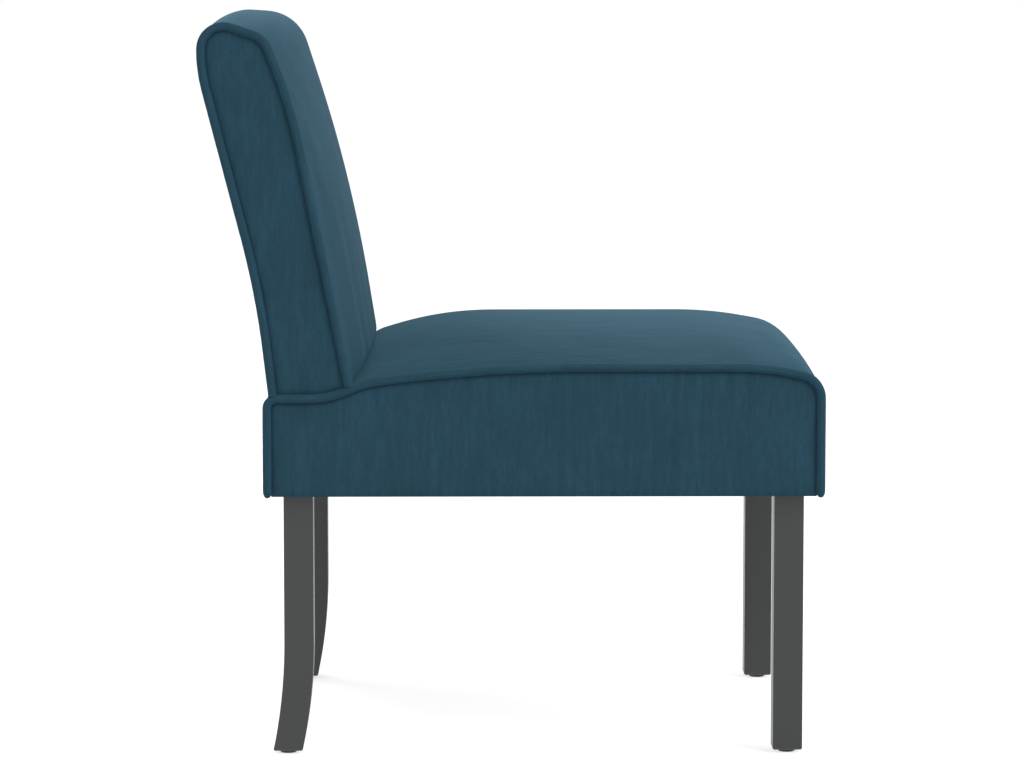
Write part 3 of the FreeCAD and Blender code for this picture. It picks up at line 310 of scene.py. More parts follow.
def relaxed(name, grid, pinned, pressure, cap, frames=20):
    """The grid after its cloth has been blown out against its pinned seams, in Blender's cloth simulation."""
    rows, columns, _ = grid.shape
    cloth = mesh_object(name, grid.reshape(-1, 3), grid_faces(rows, columns))
    group = cloth.vertex_groups.new(name="seams")
    group.add([int(index) for index in np.flatnonzero(pinned.ravel())], 1.0, "REPLACE")
    modifier = cloth.modifiers.new("stuffing", "CLOTH")
    settings = modifier.settings
    settings.quality = 5
    settings.mass = 0.35
    settings.tension_stiffness = 22
    settings.compression_stiffness = 22
    settings.shear_stiffness = 6
    settings.bending_stiffness = 1.2
    settings.vertex_group_mass = "seams"
    settings.use_pressure = True
    settings.uniform_pressure_force = pressure
    settings.effector_weights.gravity = 0
    modifier.point_cache.frame_start = 1
    modifier.point_cache.frame_end = frames
    scene = bpy.context.scene
    for step in range(1, frames + 1):
        scene.frame_set(step)
    shaped = cloth.evaluated_get(bpy.context.evaluated_depsgraph_get()).data
    points = np.zeros(len(shaped.vertices) * 3, np.float32)
    shaped.vertices.foreach_get("co", points)
    scene.frame_set(1)
    mesh = cloth.data
    bpy.data.objects.remove(cloth)
    bpy.data.meshes.remove(mesh)
    moves = points.reshape(rows, columns, 3) / MM - grid
    size = np.linalg.norm(moves, axis=2)[..., None]
    return grid + moves * np.minimum(1, cap / np.maximum(size, 1e-9))


def finished(thing, levels=1, wall=0.0):
    """The object's mesh with one subdivision and its cloth's thickness worked in."""
    smooth = thing.modifiers.new("smooth", "SUBSURF")
    smooth.levels = levels
    smooth.render_levels = levels
    if wall:
        skin = thing.modifiers.new("thickness", "SOLIDIFY")
        skin.thickness = wall * MM
        skin.offset = -1
    done = bpy.data.meshes.new_from_object(thing.evaluated_get(bpy.context.evaluated_depsgraph_get()))
    old = thing.data
    thing.modifiers.clear()
    thing.data = done
    bpy.data.meshes.remove(old)
    done.name = thing.name
    return thing


def puckers(along_seam, from_seam, depth, length, seed):
    """How far a seam's stitches pull the cloth in, from the place along the seam and the distance from it."""
    dice = np.random.default_rng(seed)
    waves = np.zeros_like(along_seam)
    for share in (1.0, 1.618, 0.55):
        waves += np.sin(2 * np.pi * along_seam / (length * share) + dice.uniform(0, 2 * np.pi))
    return depth * (0.5 + waves / 6) * np.exp(-from_seam / (0.8 * length))


def creases(across, from_foot, from_seam, depth, seed):
    """Shallow upright folds where a cover is drawn in at its foot."""
    dice = np.random.default_rng(seed)
    waves = sum(np.sin(2 * np.pi * across / pitch + dice.uniform(0, 2 * np.pi)) for pitch in (118.0, 71.0, 45.0))
    return depth * waves / 3 * np.exp(-from_foot / 75) * np.minimum(1, from_seam / 30)


def tucked(from_seam, depth):
    """How far cloth dips into the seam beside a welt."""
    return depth * np.exp(-(from_seam / TUCK_REACH) ** 2)


def own(thing, material, slot, *nodes):
    """Give a finished piece its material and its body, and hide the CAD pieces that it stands for; its slot is not
    used.
    """
    thing.data.materials.clear()
    thing.data.materials.append(material)
    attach(thing, "root")
    if nodes:
        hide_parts(*nodes)
    return thing


# Materials.
def hex_colour(text):
    """A linear colour from its sRGB hex value."""
    parts = [int(text[index:index + 2], 16) / 255 for index in (1, 3, 5)]
    return [part / 12.92 if part <= 0.04045 else ((part + 0.055) / 1.055) ** 2.4 for part in parts] + [1.0]


def add(tree, kind, inputs=None, **settings):
    """A node of a tree with its settings, its values and its links."""
    made = tree.nodes.new(kind)
    for name, value in settings.items():
        setattr(made, name, value)
    for socket, value in (inputs or {}).items():
        if isinstance(value, bpy.types.NodeSocket):
            tree.links.new(value, made.inputs[socket])
        else:
            made.inputs[socket].default_value = value
    return made


def finish(name, on_cloth=False):
    """Make a material, once, from a recipe that adds its nodes and gives its shader's inputs."""
    def kept(recipe):
        def material():
            made = bpy.data.materials.get(name)
            if made:
                return made
            made = bpy.data.materials.new(name)
            made.use_nodes = True
            tree = made.node_tree
            tree.nodes.clear()
            place = (add(tree, "ShaderNodeUVMap", uv_map="cloth").outputs["UV"] if on_cloth
                     else add(tree, "ShaderNodeTexCoord").outputs["Object"])
            shader = add(tree, "ShaderNodeBsdfPrincipled", recipe(tree, place))
            add(tree, "ShaderNodeOutputMaterial", {"Surface": shader.outputs["BSDF"]})
            return made
        return material
    return kept


def noise_of(tree, place, pitch, detail=2.0, roughness=0.5):
    """Noise whose grains are pitch millimetres across, one number for each way."""
    scale = [1 / (size * MM) for size in pitch]
    spot = add(tree, "ShaderNodeVectorMath", {0: place, 1: scale}, operation="MULTIPLY")
    noise = add(tree, "ShaderNodeTexNoise", {"Vector": spot.outputs[0], "Scale": 1.0, "Detail": detail,
                                             "Roughness": roughness})
    return noise.outputs["Fac"]


def graded(tree, value, low, high):
    """A noise value spread over a range of factors."""
    return add(tree, "ShaderNodeMapRange", {"Value": value, "From Min": 0.3, "From Max": 0.7, "To Min": low,
                                            "To Max": high}).outputs["Result"]


def times(tree, first, second):
    """The product of two values."""
    return add(tree, "ShaderNodeMath", {0: first, 1: second}, operation="MULTIPLY").outputs[0]


def mixed(tree, factor, first, second, way="MIX"):
    """A colour between two colours, or their product."""
    return add(tree, "ShaderNodeMix", {0: factor, 6: first, 7: second}, data_type="RGBA",
               blend_type=way).outputs[2]


def raised(tree, height, distance, strength=1.0, under=None):
    """A bump of so many millimetres, over another bump if given."""
    inputs = {"Height": height, "Distance": distance * MM, "Strength": strength}
    if under:
        inputs["Normal"] = under
    return add(tree, "ShaderNodeBump", inputs).outputs["Normal"]


@finish("teal_polyester_velvet", on_cloth=True)
def velvet(tree, place):
    """Polyester velvet, short pile sheared and brushed down: pale at grazing angles, with nap streaks."""
    cloth = bpy.context.scene.chair_cloth
    pile = cloth.pile_pitch / MM
    grain = noise_of(tree, place, (pile, pile * 1.6, pile), 2.0, 0.6)
    streaks = noise_of(tree, place, (7.0, 70.0, 7.0), 3.0, 0.55)
    brushed = noise_of(tree, place, (46.0, 80.0, 46.0), 2.0, 0.5)
    marks = noise_of(tree, place, (3.2, 17.0, 3.2), 1.0, 0.5)
    shade = times(tree, graded(tree, grain, 0.9, 1.1), graded(tree, streaks, 0.9, 1.1))
    shade = times(tree, shade, graded(tree, brushed, 0.9, 1.1))
    shade = times(tree, shade, graded(tree, marks, 0.93, 1.07))
    height = raised(tree, brushed, 1.6, 0.7)
    height = raised(tree, streaks, 0.5, 0.7, height)
    height = raised(tree, grain, 0.32, 0.7, height)
    return {"Base Color": mixed(tree, 1.0, (*cloth.colour, 1.0), shade, "MULTIPLY"), "Roughness": 0.88,
            "Normal": height, "Specular IOR Level": 0.25, "Sheen Weight": 0.5, "Sheen Roughness": 0.42,
            "Sheen Tint": hex_colour("#4D839A")}


@finish("grey_satin_lacquer_on_beech")
def satin_lacquer(tree, place):
    """Beech sprayed with grey satin lacquer: an even film that only hints at the grain, with a painted highlight of
    lighter grey along its sharp edges.
    """
    wood = bpy.context.scene.chair_wood
    grain = noise_of(tree, place, (1.3, 1.3, 55.0), 3.0, 0.6)
    film = noise_of(tree, place, (2.4, 2.4, 2.4), 1.0, 0.4)
    cloud = noise_of(tree, place, (60.0, 60.0, 120.0), 2.0, 0.5)
    # Painted highlight: sharp convex edges, found by pointiness, are mixed towards a lighter grey.
    edge = add(tree, "ShaderNodeNewGeometry").outputs["Pointiness"]
    edge_highlight = add(tree, "ShaderNodeMapRange", {"Value": edge, "From Min": 0.52, "From Max": 0.62, "To Min": 0.0,
                                            "To Max": 0.5}).outputs["Result"]
    shade = times(tree, graded(tree, grain, 0.96, 1.04), graded(tree, cloud, 0.95, 1.05))
    base = mixed(tree, 1.0, (*wood.colour, 1.0), shade, "MULTIPLY")
    base = mixed(tree, edge_highlight, base, hex_colour("#2E3130"))
    return {"Base Color": base, "Roughness": graded(tree, cloud, 0.36, 0.44),
            "Normal": raised(tree, film, 0.03, 0.5, raised(tree, grain, 0.05, 0.6)), "Coat Weight": 0.1,
            "Coat Roughness": 0.22, "IOR": 1.5}


@finish("planed_beech")
def frame_beech(tree, place):
    """Sawn and planed beech, unfinished: pinkish tan with fine dark flecks along the board."""
    rings = noise_of(tree, place, (90.0, 7.0, 7.0), 3.0, 0.55)
    flecks = noise_of(tree, place, (5.0, 0.9, 0.9), 2.0, 0.6)
    base = mixed(tree, graded(tree, rings, 0.0, 1.0), hex_colour("#C79E72"), hex_colour("#DDBB92"))
    base = mixed(tree, graded(tree, flecks, 0.0, 0.3), base, hex_colour("#9A6E48"))
    return {"Base Color": base, "Roughness": 0.62, "Normal": raised(tree, flecks, 0.12, 0.6)}


@finish("birch_plywood")
def board_plywood(tree, place):
    """Birch plywood: pale face veneer with flame figure."""
    figure = noise_of(tree, place, (160.0, 12.0, 1.5), 4.0, 0.5)
    base = mixed(tree, graded(tree, figure, 0.0, 1.0), hex_colour("#D9BE93"), hex_colour("#BF9A68"))
    return {"Base Color": base, "Roughness": 0.7, "Normal": raised(tree, figure, 0.15, 0.5)}


@finish("cream_polyurethane_foam")
def upholstery_foam(tree, place):
    """Cut polyurethane foam: cream, open cells under a millimetre across, slightly yellowed in patches."""
    spot = add(tree, "ShaderNodeVectorMath", {0: place, 1: (1 / (1.4 * MM),) * 3}, operation="MULTIPLY")
    cells = add(tree, "ShaderNodeTexVoronoi", {"Vector": spot.outputs[0], "Scale": 1.0}).outputs["Distance"]
    patches = noise_of(tree, place, (55.0, 55.0, 55.0), 2.0, 0.5)
    base = mixed(tree, graded(tree, patches, 0.0, 1.0), hex_colour("#E9DFC2"), hex_colour("#DCCB9B"))
    base = mixed(tree, graded(tree, cells, 0.0, 0.25), base, hex_colour("#B7A677"))
    return {"Base Color": base, "Roughness": 0.95, "Normal": raised(tree, cells, 0.5, 0.7)}


@finish("tan_elastic_webbing", on_cloth=True)
def elastic_webbing(tree, place):
    """Woven polypropylene and rubber webbing: tan, ribbed across, with warp threads a millimetre apart."""
    threads = noise_of(tree, place, (1.1, 14.0, 1.1), 1.0, 0.4)
    ribs = add(tree, "ShaderNodeTexWave", {"Vector": place, "Scale": 1 / (2 * math.pi * 2.0 * MM) * 2,
                                           "Distortion": 0.3}, bands_direction="Y").outputs["Fac"]
    base = mixed(tree, graded(tree, threads, 0.0, 1.0), hex_colour("#B08E5E"), hex_colour("#8C6B42"))
    base = mixed(tree, times(tree, ribs, 0.35), base, hex_colour("#4B3A26"))
    height = raised(tree, threads, 0.3, 0.7)
    return {"Base Color": base, "Roughness": 0.8, "Normal": raised(tree, ribs, 0.3, 0.6, height)}


@finish("black_spunbond_polypropylene")
def spunbond_sheet(tree, place):
    """Spunbonded polypropylene: black felt-like sheet with a grid of heat-pressed points, 2 mm apart."""
    spot = add(tree, "ShaderNodeVectorMath", {0: place, 1: (1 / (2.0 * MM), 1 / (2.0 * MM), 0.0)},
               operation="MULTIPLY")
    points = add(tree, "ShaderNodeTexVoronoi", {"Vector": spot.outputs[0], "Scale": 1.0, "Randomness": 0.15},
                 voronoi_dimensions="2D").outputs["Distance"]
    fibres = noise_of(tree, place, (0.9, 5.0, 5.0), 3.0, 0.7)
    cloud = noise_of(tree, place, (22.0, 22.0, 22.0), 2.0, 0.5)
    base = mixed(tree, graded(tree, fibres, 0.0, 1.0), hex_colour("#1B1C1D"), hex_colour("#2C2D2F"))
    base = mixed(tree, graded(tree, cloud, 0.0, 0.3), base, hex_colour("#3A3B3D"))
    pressed = add(tree, "ShaderNodeMapRange", {"Value": points, "From Min": 0.12,
                                               "From Max": 0.3}).outputs["Result"]
    height = raised(tree, fibres, 0.12, 0.6)
    return {"Base Color": base, "Roughness": graded(tree, pressed, 0.45, 0.85),
            "Normal": raised(tree, pressed, 0.12, 0.7, height), "Sheen Weight": 0.15}


@finish("zinc_plated_steel")
def zinc_steel(tree, place):
    """Zinc-plated steel: cool grey, bright-dipped, with a faint blue and yellow cast in patches."""
    cast = noise_of(tree, place, (9.0, 9.0, 9.0), 2.0, 0.5)
    scuff = noise_of(tree, place, (0.5, 0.5, 3.0), 2.0, 0.6)
    base = mixed(tree, graded(tree, cast, 0.0, 1.0), hex_colour("#B9BEC6"), hex_colour("#CFCBBB"))
    return {"Base Color": base, "Metallic": 1.0, "Roughness": graded(tree, scuff, 0.28, 0.42),
            "Normal": raised(tree, scuff, 0.02, 0.5)}


@finish("black_moulded_polypropylene")
def glide_plastic(tree, place):
    """Injection-moulded polypropylene: black, fine matt texture, scratched where it slides."""
    grit = noise_of(tree, place, (0.5, 0.5, 0.5), 2.0, 0.6)
    scratches = noise_of(tree, place, (8.0, 0.6, 2.0), 1.0, 0.5)
    base = mixed(tree, graded(tree, scratches, 0.0, 0.5), hex_colour("#1E1F1F"), hex_colour("#3B3C3C"))
    return {"Base Color": base, "Roughness": graded(tree, scratches, 0.42, 0.6), "IOR": 1.49,
            "Normal": raised(tree, grit, 0.05, 0.6)}


@finish("white_studio_floor")
def studio_floor(tree, place):
    """Matt white studio floor, seen white by the camera and by polished faces, with the chair's shadow on it."""
    dust = noise_of(tree, place, (30.0, 30.0, 30.0), 2.0, 0.5)
    base = mixed(tree, graded(tree, dust, 0.0, 1.0), hex_colour("#D2D2D2"), hex_colour("#D6D6D6"))
    return {"Base Color": base, "Roughness": 0.9, "Specular IOR Level": 0.0, "Emission Color": (1.0, 1.0, 1.0, 1.0),
            "Emission Strength": times(tree, seen_white(tree), bpy.context.scene.chair_stage.floor_lift)}


def seen_white(tree):
    """One for rays from the camera and from polished faces, and nought for light on the chair."""
    path = add(tree, "ShaderNodeLightPath")
    return add(tree, "ShaderNodeMath", {0: path.outputs["Is Camera Ray"], 1: path.outputs["Is Glossy Ray"]},
               operation="MAXIMUM").outputs[0]


# Node trees for what follows a path or repeats.
SOCKETS = {"length": "NodeSocketFloat", "count": "NodeSocketInt", "material": "NodeSocketMaterial",
           "vector": "NodeSocketVector"}


def geometry_tree(name, sizes):
    """A geometry node tree with its geometry sockets and its named inputs."""
    tree = bpy.data.node_groups.new(name, "GeometryNodeTree")
    tree.interface.new_socket("Geometry", in_out="INPUT", socket_type="NodeSocketGeometry")
    for label, kind in sizes:
        tree.interface.new_socket(label, in_out="INPUT", socket_type=SOCKETS[kind])
    tree.interface.new_socket("Geometry", in_out="OUTPUT", socket_type="NodeSocketGeometry")
    return tree, tree.nodes.new("NodeGroupInput").outputs


def close_tree(tree, geometry, material):
    """End a tree with real copies in their material."""
    real = add(tree, "GeometryNodeRealizeInstances", {"Geometry": geometry})
    dyed = add(tree, "GeometryNodeSetMaterial", {"Geometry": real.outputs[0], "Material": material})
    add(tree, "NodeGroupOutput", {0: dyed.outputs[0]})


def cord_tree():
    """A velvet-covered cord along a curve, gathered a little by its stitches."""
    tree, given = geometry_tree("covered_cord", (("Cord radius", "length"), ("Sides", "count"),
                                                 ("Gather depth", "length"), ("Gather length", "length"),
                                                 ("Velvet", "material")))
    way = add(tree, "GeometryNodeSplineParameter")
    line = add(tree, "GeometryNodeStoreNamedAttribute", {"Geometry": given["Geometry"], "Name": "way",
                                                         "Value": way.outputs["Length"]}, data_type="FLOAT")
    ring = add(tree, "GeometryNodeCurvePrimitiveCircle", {"Resolution": given["Sides"],
                                                          "Radius": given["Cord radius"]})
    girth = add(tree, "GeometryNodeStoreNamedAttribute", {"Geometry": ring.outputs[0], "Name": "girth",
                                                          "Value": way.outputs["Length"]}, data_type="FLOAT")
    radius = add(tree, "GeometryNodeInputRadius")
    tube = add(tree, "GeometryNodeCurveToMesh", {"Curve": line.outputs[0], "Profile Curve": girth.outputs[0],
                                                 "Scale": radius.outputs[0], "Fill Caps": True})
    stored = [add(tree, "GeometryNodeInputNamedAttribute", {"Name": label}, data_type="FLOAT").outputs[0]
              for label in ("way", "girth")]
    twisted = add(tree, "ShaderNodeMath", {0: stored[0], 1: stored[1]}, operation="ADD").outputs[0]
    spot = add(tree, "ShaderNodeCombineXYZ", {"X": twisted, "Y": stored[1]}).outputs[0]
    scaled = add(tree, "ShaderNodeVectorMath", {0: spot, 1: given["Gather length"]}, operation="DIVIDE").outputs[0]
    waves = add(tree, "ShaderNodeTexNoise", {"Vector": scaled, "Scale": 1.0, "Detail": 1.0}).outputs["Fac"]
    height = add(tree, "ShaderNodeMath", {0: waves, 1: 0.5}, operation="SUBTRACT").outputs[0]
    height = add(tree, "ShaderNodeMath", {0: height, 1: given["Gather depth"]}, operation="MULTIPLY").outputs[0]
    normal = add(tree, "GeometryNodeInputNormal").outputs[0]
    move = add(tree, "ShaderNodeVectorMath", {0: normal, "Scale": height}, operation="SCALE").outputs[0]
    gathered = add(tree, "GeometryNodeSetPosition", {"Geometry": tube.outputs[0], "Offset": move})
    map_spot = add(tree, "ShaderNodeCombineXYZ", {"X": stored[1], "Y": stored[0]}).outputs[0]
    mapped = add(tree, "GeometryNodeStoreNamedAttribute", {"Geometry": gathered.outputs[0], "Name": "cloth",
                                                           "Value": map_spot}, data_type="FLOAT2", domain="CORNER")
    smooth = add(tree, "GeometryNodeSetShadeSmooth", {"Geometry": mapped.outputs[0]})
    close_tree(tree, smooth.outputs[0], given["Velvet"])
    return tree


def strap_tree():
    """Copies of one strap at a regular pitch."""
    tree, given = geometry_tree("strap_row", (("Count", "count"), ("First", "vector"), ("Pitch", "vector"),
                                              ("Webbing", "material")))
    row = add(tree, "GeometryNodeMeshLine", {"Count": given["Count"], "Start Location": given["First"],
                                             "Offset": given["Pitch"]})
    laid = add(tree, "GeometryNodeInstanceOnPoints", {"Points": row.outputs[0], "Instance": given["Geometry"]})
    close_tree(tree, laid.outputs[0], given["Webbing"])
    return tree


def staple_tree():
    """Copies of one staple along the edge of the sheet under the seat."""
    tree, given = geometry_tree("staple_row", (("Run across", "length"), ("Run along", "length"),
                                               ("Spacing", "length"), ("Centre", "vector"), ("Steel", "material")))
    edge = add(tree, "GeometryNodeCurvePrimitiveQuadrilateral", {"Width": given["Run across"],
                                                                 "Height": given["Run along"]})
    spots = add(tree, "GeometryNodeCurveToPoints", {"Curve": edge.outputs[0], "Length": given["Spacing"]},
                mode="LENGTH")
    turn = add(tree, "FunctionNodeAlignRotationToVector", {"Vector": spots.outputs["Tangent"]}, axis="X")
    wobble = add(tree, "FunctionNodeRandomValue", {2: -0.12, 3: 0.12, "Seed": 7}, data_type="FLOAT").outputs[1]
    twist = add(tree, "ShaderNodeCombineXYZ", {"Z": wobble}).outputs[0]
    turned = add(tree, "FunctionNodeRotateRotation", {0: turn.outputs[0], 1: twist})
    laid = add(tree, "GeometryNodeInstanceOnPoints", {"Points": spots.outputs[0], "Instance": given["Geometry"],
                                                      "Rotation": turned.outputs[0]})
    placed = add(tree, "GeometryNodeTransform", {"Geometry": laid.outputs[0], "Translation": given["Centre"]})
    close_tree(tree, placed.outputs[0], given["Steel"])
    return tree


def grown_by_nodes(name, thing, tree, values):
    """The plain mesh that a node tree makes of an object, as a piece of its own."""
    modifier = thing.modifiers.new(tree.name, "NODES")
    modifier.node_group = tree
    for item in tree.interface.items_tree:
        if item.in_out == "INPUT" and item.name in values:
            modifier[item.identifier] = values[item.name]
    mesh = bpy.data.meshes.new_from_object(thing.evaluated_get(bpy.context.evaluated_depsgraph_get()))
    thing.modifiers.clear()
    bpy.data.objects.remove(thing)
    mesh.name = name
    made = bpy.data.objects.new(name, mesh)
    bpy.context.collection.objects.link(made)
    return made


def tree_named(name, maker):
    """A node tree, made once."""
    return bpy.data.node_groups.get(name) or maker()


# Upholstery.
def laid_over(section, shares, counts, slack):
    """A grid of points on a form's sections, drawn in by the cloth's slack away from its side seams."""
    lines = []
    for share in shares:
        eased = min(1.0, (1 - abs(share)) * WOOD / SLACK_EASE)
        line, _ = traced(section(share, -slack * eased * (2 - eased)), counts=counts)
        lines.append(np.column_stack([np.full(len(line), share * WOOD), line]))
    return np.array(lines)


def wrapped_cover(name, section, pressure, cap, folds, seed):
    """Velvet wrapped round a crowned form from one side seam to the other, swelled in its middle."""
    cloth = bpy.context.scene.chair_cloth
    shares = spread(2 * WOOD, cloth.mesh_pitch / MM) * 2 - 1
    _, counts = traced(section(0.0, 0.0), cloth.mesh_pitch / MM)
    stuffing = laid_over(section, shares, counts, 0.0)
    normals = grid_normals(stuffing)
    grid = laid_over(section, shares, counts, cloth.fullness / MM)
    pinned = np.zeros(grid.shape[:2], bool)
    pinned[[0, -1], :] = True
    pinned[:, :4] = True
    pinned[:, -4:] = True
    grid = relaxed(name, grid, pinned, pressure, cap)
    grid = grid + normals * np.maximum(0, ((stuffing - grid) * normals).sum(2))[..., None]
    middle = grid[len(grid) // 2]
    run = np.concatenate([[0], np.cumsum(np.linalg.norm(np.diff(middle, axis=0), axis=1))])
    from_seam = ((1 - np.abs(shares)) * WOOD)[:, None] * np.ones(len(run))
    seam_run = np.ones(len(shares))[:, None] * run
    dip = tucked(from_seam, cloth.tuck / MM) + puckers(seam_run, from_seam, depth=0.5, length=15.0, seed=seed)
    fade = np.minimum(1, np.minimum(run, run[-1] - run) / 20)
    dip = dip * fade + creases((shares * WOOD)[:, None], run[-1] - seam_run, from_seam, folds, seed + 1)
    grid = grid - grid_normals(grid) * dip[..., None]
    grid[[0, -1], :, 0] *= 1 + 0.5 / WOOD
    uvs = np.stack([np.ones(len(run)) * (shares * WOOD)[:, None], seam_run], 2).reshape(-1, 2)
    cover = mesh_object(name, grid.reshape(-1, 3), grid_faces(*grid.shape[:2]), uvs)
    return finished(cover, wall=WRAP)


def patch(bottom, top, rear, front, u, v):
    """A grid of points inside four edges; bottom and top run rear to front, rear and front run upwards."""
    low, high = along(bottom, u)[:, None], along(top, u)[:, None]
    near, far = along(rear, v)[None], along(front, v)[None]
    across, up = u[:, None, None], v[None, :, None]
    corners = ((1 - across) * (1 - up) * near[:, :1] + (1 - across) * up * near[:, -1:]
               + across * (1 - up) * far[:, :1] + across * up * far[:, -1:])
    return (1 - up) * low + up * high + (1 - across) * near + across * far - corners


def edge_distance(points, outline):
    """Distance of each point from a closed outline."""
    starts, ends = outline, np.roll(outline, -1, 0)
    way = ends - starts
    size = np.maximum((way ** 2).sum(1), 1e-9)
    best = np.full(len(points), 1e9)
    place = np.zeros(len(points))
    run = np.concatenate([[0], np.cumsum(np.sqrt(size))])
    for start, leg, square, before in zip(starts, way, size, run):
        share = np.clip(((points - start) @ leg) / square, 0, 1)
        gap = np.linalg.norm(points - start - share[:, None] * leg, axis=1)
        nearer = gap < best
        best[nearer] = gap[nearer]
        place[nearer] = before + share[nearer] * math.sqrt(square)
    return best, place


def side_panel(name, sign, edges, pressure, cap, seed):
    """A flat velvet panel over thin wadding, sewn in between its welts."""
    cloth = bpy.context.scene.chair_cloth
    bottom, top, rear, front = edges
    lengths = [np.linalg.norm(np.diff(edge, axis=0), axis=1).sum() for edge in edges]
    u = spread(max(lengths[:2]), cloth.mesh_pitch / MM)
    v = spread(max(lengths[2:]), cloth.mesh_pitch / MM)
    flat = patch(bottom, top, rear, front, u, v)
    outline = np.concatenate([bottom, front[1:], top[::-1][1:], rear[::-1][1:-1]])
    gap, run = (values.reshape(flat.shape[:2]) for values in edge_distance(flat.reshape(-1, 2), outline))
    grid = np.concatenate([np.full((*flat.shape[:2], 1), PANEL), flat], 2)
    pinned = np.zeros(flat.shape[:2], bool)
    pinned[[0, -1], :] = True
    pinned[:, [0, -1]] = True
    grid = relaxed(name, grid, pinned, pressure, cap)
    grid[..., 0] -= tucked(gap, cloth.tuck / MM) + puckers(run, gap, depth=0.35, length=17.0, seed=seed)
    outer = grid.reshape(-1, 3)
    inner = np.column_stack([np.full(len(outer), WOOD), flat.reshape(-1, 2)])
    vertices = np.concatenate([outer, inner]) * (sign, 1, 1)
    faces = pad_faces(*flat.shape[:2], rim_turned=True)
    if sign < 0:
        faces = [tuple(face)[::-1] for face in faces]
    uvs = np.concatenate([flat.reshape(-1, 2)] * 2)
    return finished(mesh_object(name, vertices, faces, uvs))


def split_at(path, index):
    """A path's points up to a place and from it on."""
    return path[:index + 1], path[index:]


def seat_panel_edges():
    """Bottom, top, rear and front edge of the seat's side panel, inside its welt."""
    corners = grown(seat_edge(), -CORD + LAP / 2)
    corners = [(corners[0][0], BOTTOM, 0)] + corners[1:-1] + [(corners[-1][0], BOTTOM, 0)]
    path, used = traced(corners, 2.0)
    rear_turn = used[0] + used[1] // 2
    front_turn = len(path) - 1 - used[-1] - used[-2] // 2
    rear, rest = split_at(path, rear_turn)
    top, front = split_at(rest, front_turn - rear_turn)
    return np.array([path[0], path[-1]]), top, rear, front[::-1]


def back_panel_edges():
    """Bottom, top, rear and front edge of the back's side panel, between its welt and the seat's."""
    corners = grown(back_edge(), -CORD + LAP / 2)
    seat, _ = traced(grown(seat_edge(), CORD - LAP / 2), 2.0)
    points = [np.array(corner[:2]) for corner in corners]
    rear_foot, rear_leg = crossing(points[1], points[0], seat)
    front_foot, front_leg = crossing(points[-2], points[-1], seat)
    path, used = traced([(*rear_foot, 0)] + corners[1:-1] + [(*front_foot, 0)], 2.0)
    rear_turn = sum(used[:5]) + used[5] // 2
    front_turn = sum(used[:7]) + used[7] // 2
    rear, rest = split_at(path, rear_turn)
    top, front = split_at(rest, front_turn - rear_turn)
    bottom = np.array([rear_foot, *seat[rear_leg + 1:front_leg + 1], front_foot])
    return bottom, top, rear, front[::-1]


def welt_line(path, feet):
    """Places and thickness of a welt along its path; at a foot its end is thinned and turned under the rail."""
    points = [(PANEL, y, z, 1.0) for y, z in path]
    tuck = [(-0.6, 3.6, 0.96), (-2.2, 1.6, 0.8), (-4.2, 0.9, 0.55), (-6.4, 0.6, 0.34)]
    for end in feet:
        y, z = path[end]
        tail = [(PANEL + across, y, z + up, size) for across, up, size in tuck]
        rest = [point for point in points if point[2] > z + 6 or abs(point[1] - y) > 30]
        points = rest + tail if end else tail[::-1] + rest
    return points


def covered_cord(name, sign, points, seed):
    """A welt: velvet sewn round a cord, along its line."""
    cloth = bpy.context.scene.chair_cloth
    curve = bpy.data.curves.new(name, "CURVE")
    curve.dimensions = "3D"
    spline = curve.splines.new("POLY")
    spline.points.add(len(points) - 1)
    for point, (x, y, z, size) in zip(spline.points, points):
        point.co = (sign * x * MM, y * MM, z * MM, 1.0)
        point.radius = size
    thing = bpy.data.objects.new(name + "_line", curve)
    bpy.context.collection.objects.link(thing)
    return grown_by_nodes(name, thing, tree_named("covered_cord", cord_tree), {
        "Cord radius": CORD * MM, "Sides": 18, "Gather depth": cloth.gather, "Gather length": 9 * MM,
        "Velvet": velvet()})


def strap(name, width, length, thickness, sag, lengthwise):
    """One webbing strap, pulled tight and sagging a little, centred on the origin."""
    u = np.linspace(-0.5, 0.5, 9)
    v = np.linspace(-0.5, 0.5, 41)
    across, run = np.meshgrid(u * width, v * length, indexing="ij")
    edge = 0.25 * (np.abs(across) > 0.49 * width)
    drop = -sag * (1 - (2 * run / length) ** 2)
    top = np.stack([across, run, drop + thickness / 2 - edge], 2)
    low = np.stack([across, run, drop - thickness / 2 + edge], 2)
    if not lengthwise:
        top, low = (layer[..., [1, 0, 2]] * (1, -1, 1) for layer in (top, low))
    uvs = np.stack([across, run], 2).reshape(-1, 2)
    return mesh_object(name, np.concatenate([top.reshape(-1, 3), low.reshape(-1, 3)]), pad_faces(*top.shape[:2]),
                       np.concatenate([uvs, uvs]))


def node_copy(name, node, voxel, inset=0.0):
    """A closed, evenly meshed copy of a CAD piece, its edges rounded over and its faces set in a little."""
    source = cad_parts[node]
    thing = bpy.data.objects.new(name, source.data.copy())
    thing.data.materials.clear()
    bpy.context.collection.objects.link(thing)
    welded = thing.modifiers.new("weld", "WELD")
    welded.merge_threshold = 0.01 * MM
    even = thing.modifiers.new("even", "REMESH")
    even.mode = "VOXEL"
    even.voxel_size = voxel * MM
    even.use_smooth_shade = True
    soft = thing.modifiers.new("soft", "SMOOTH")
    soft.iterations = 4
    soft.factor = 0.5
    trimmed = thing.modifiers.new("trimmed", "DISPLACE")
    trimmed.mid_level = 0
    trimmed.strength = -inset * MM
    mesh = bpy.data.meshes.new_from_object(thing.evaluated_get(bpy.context.evaluated_depsgraph_get()))
    old = thing.data
    thing.modifiers.clear()
    thing.data = mesh
    bpy.data.meshes.remove(old)
    mesh.name = name
    return thing


# Sizes and colours that a user may change.
def length(name, description, millimetres, **limits):
    """A setting that is a length."""
    return bpy.props.FloatProperty(name=name, description=description, default=millimetres * MM, unit="LENGTH",
                                   **limits)


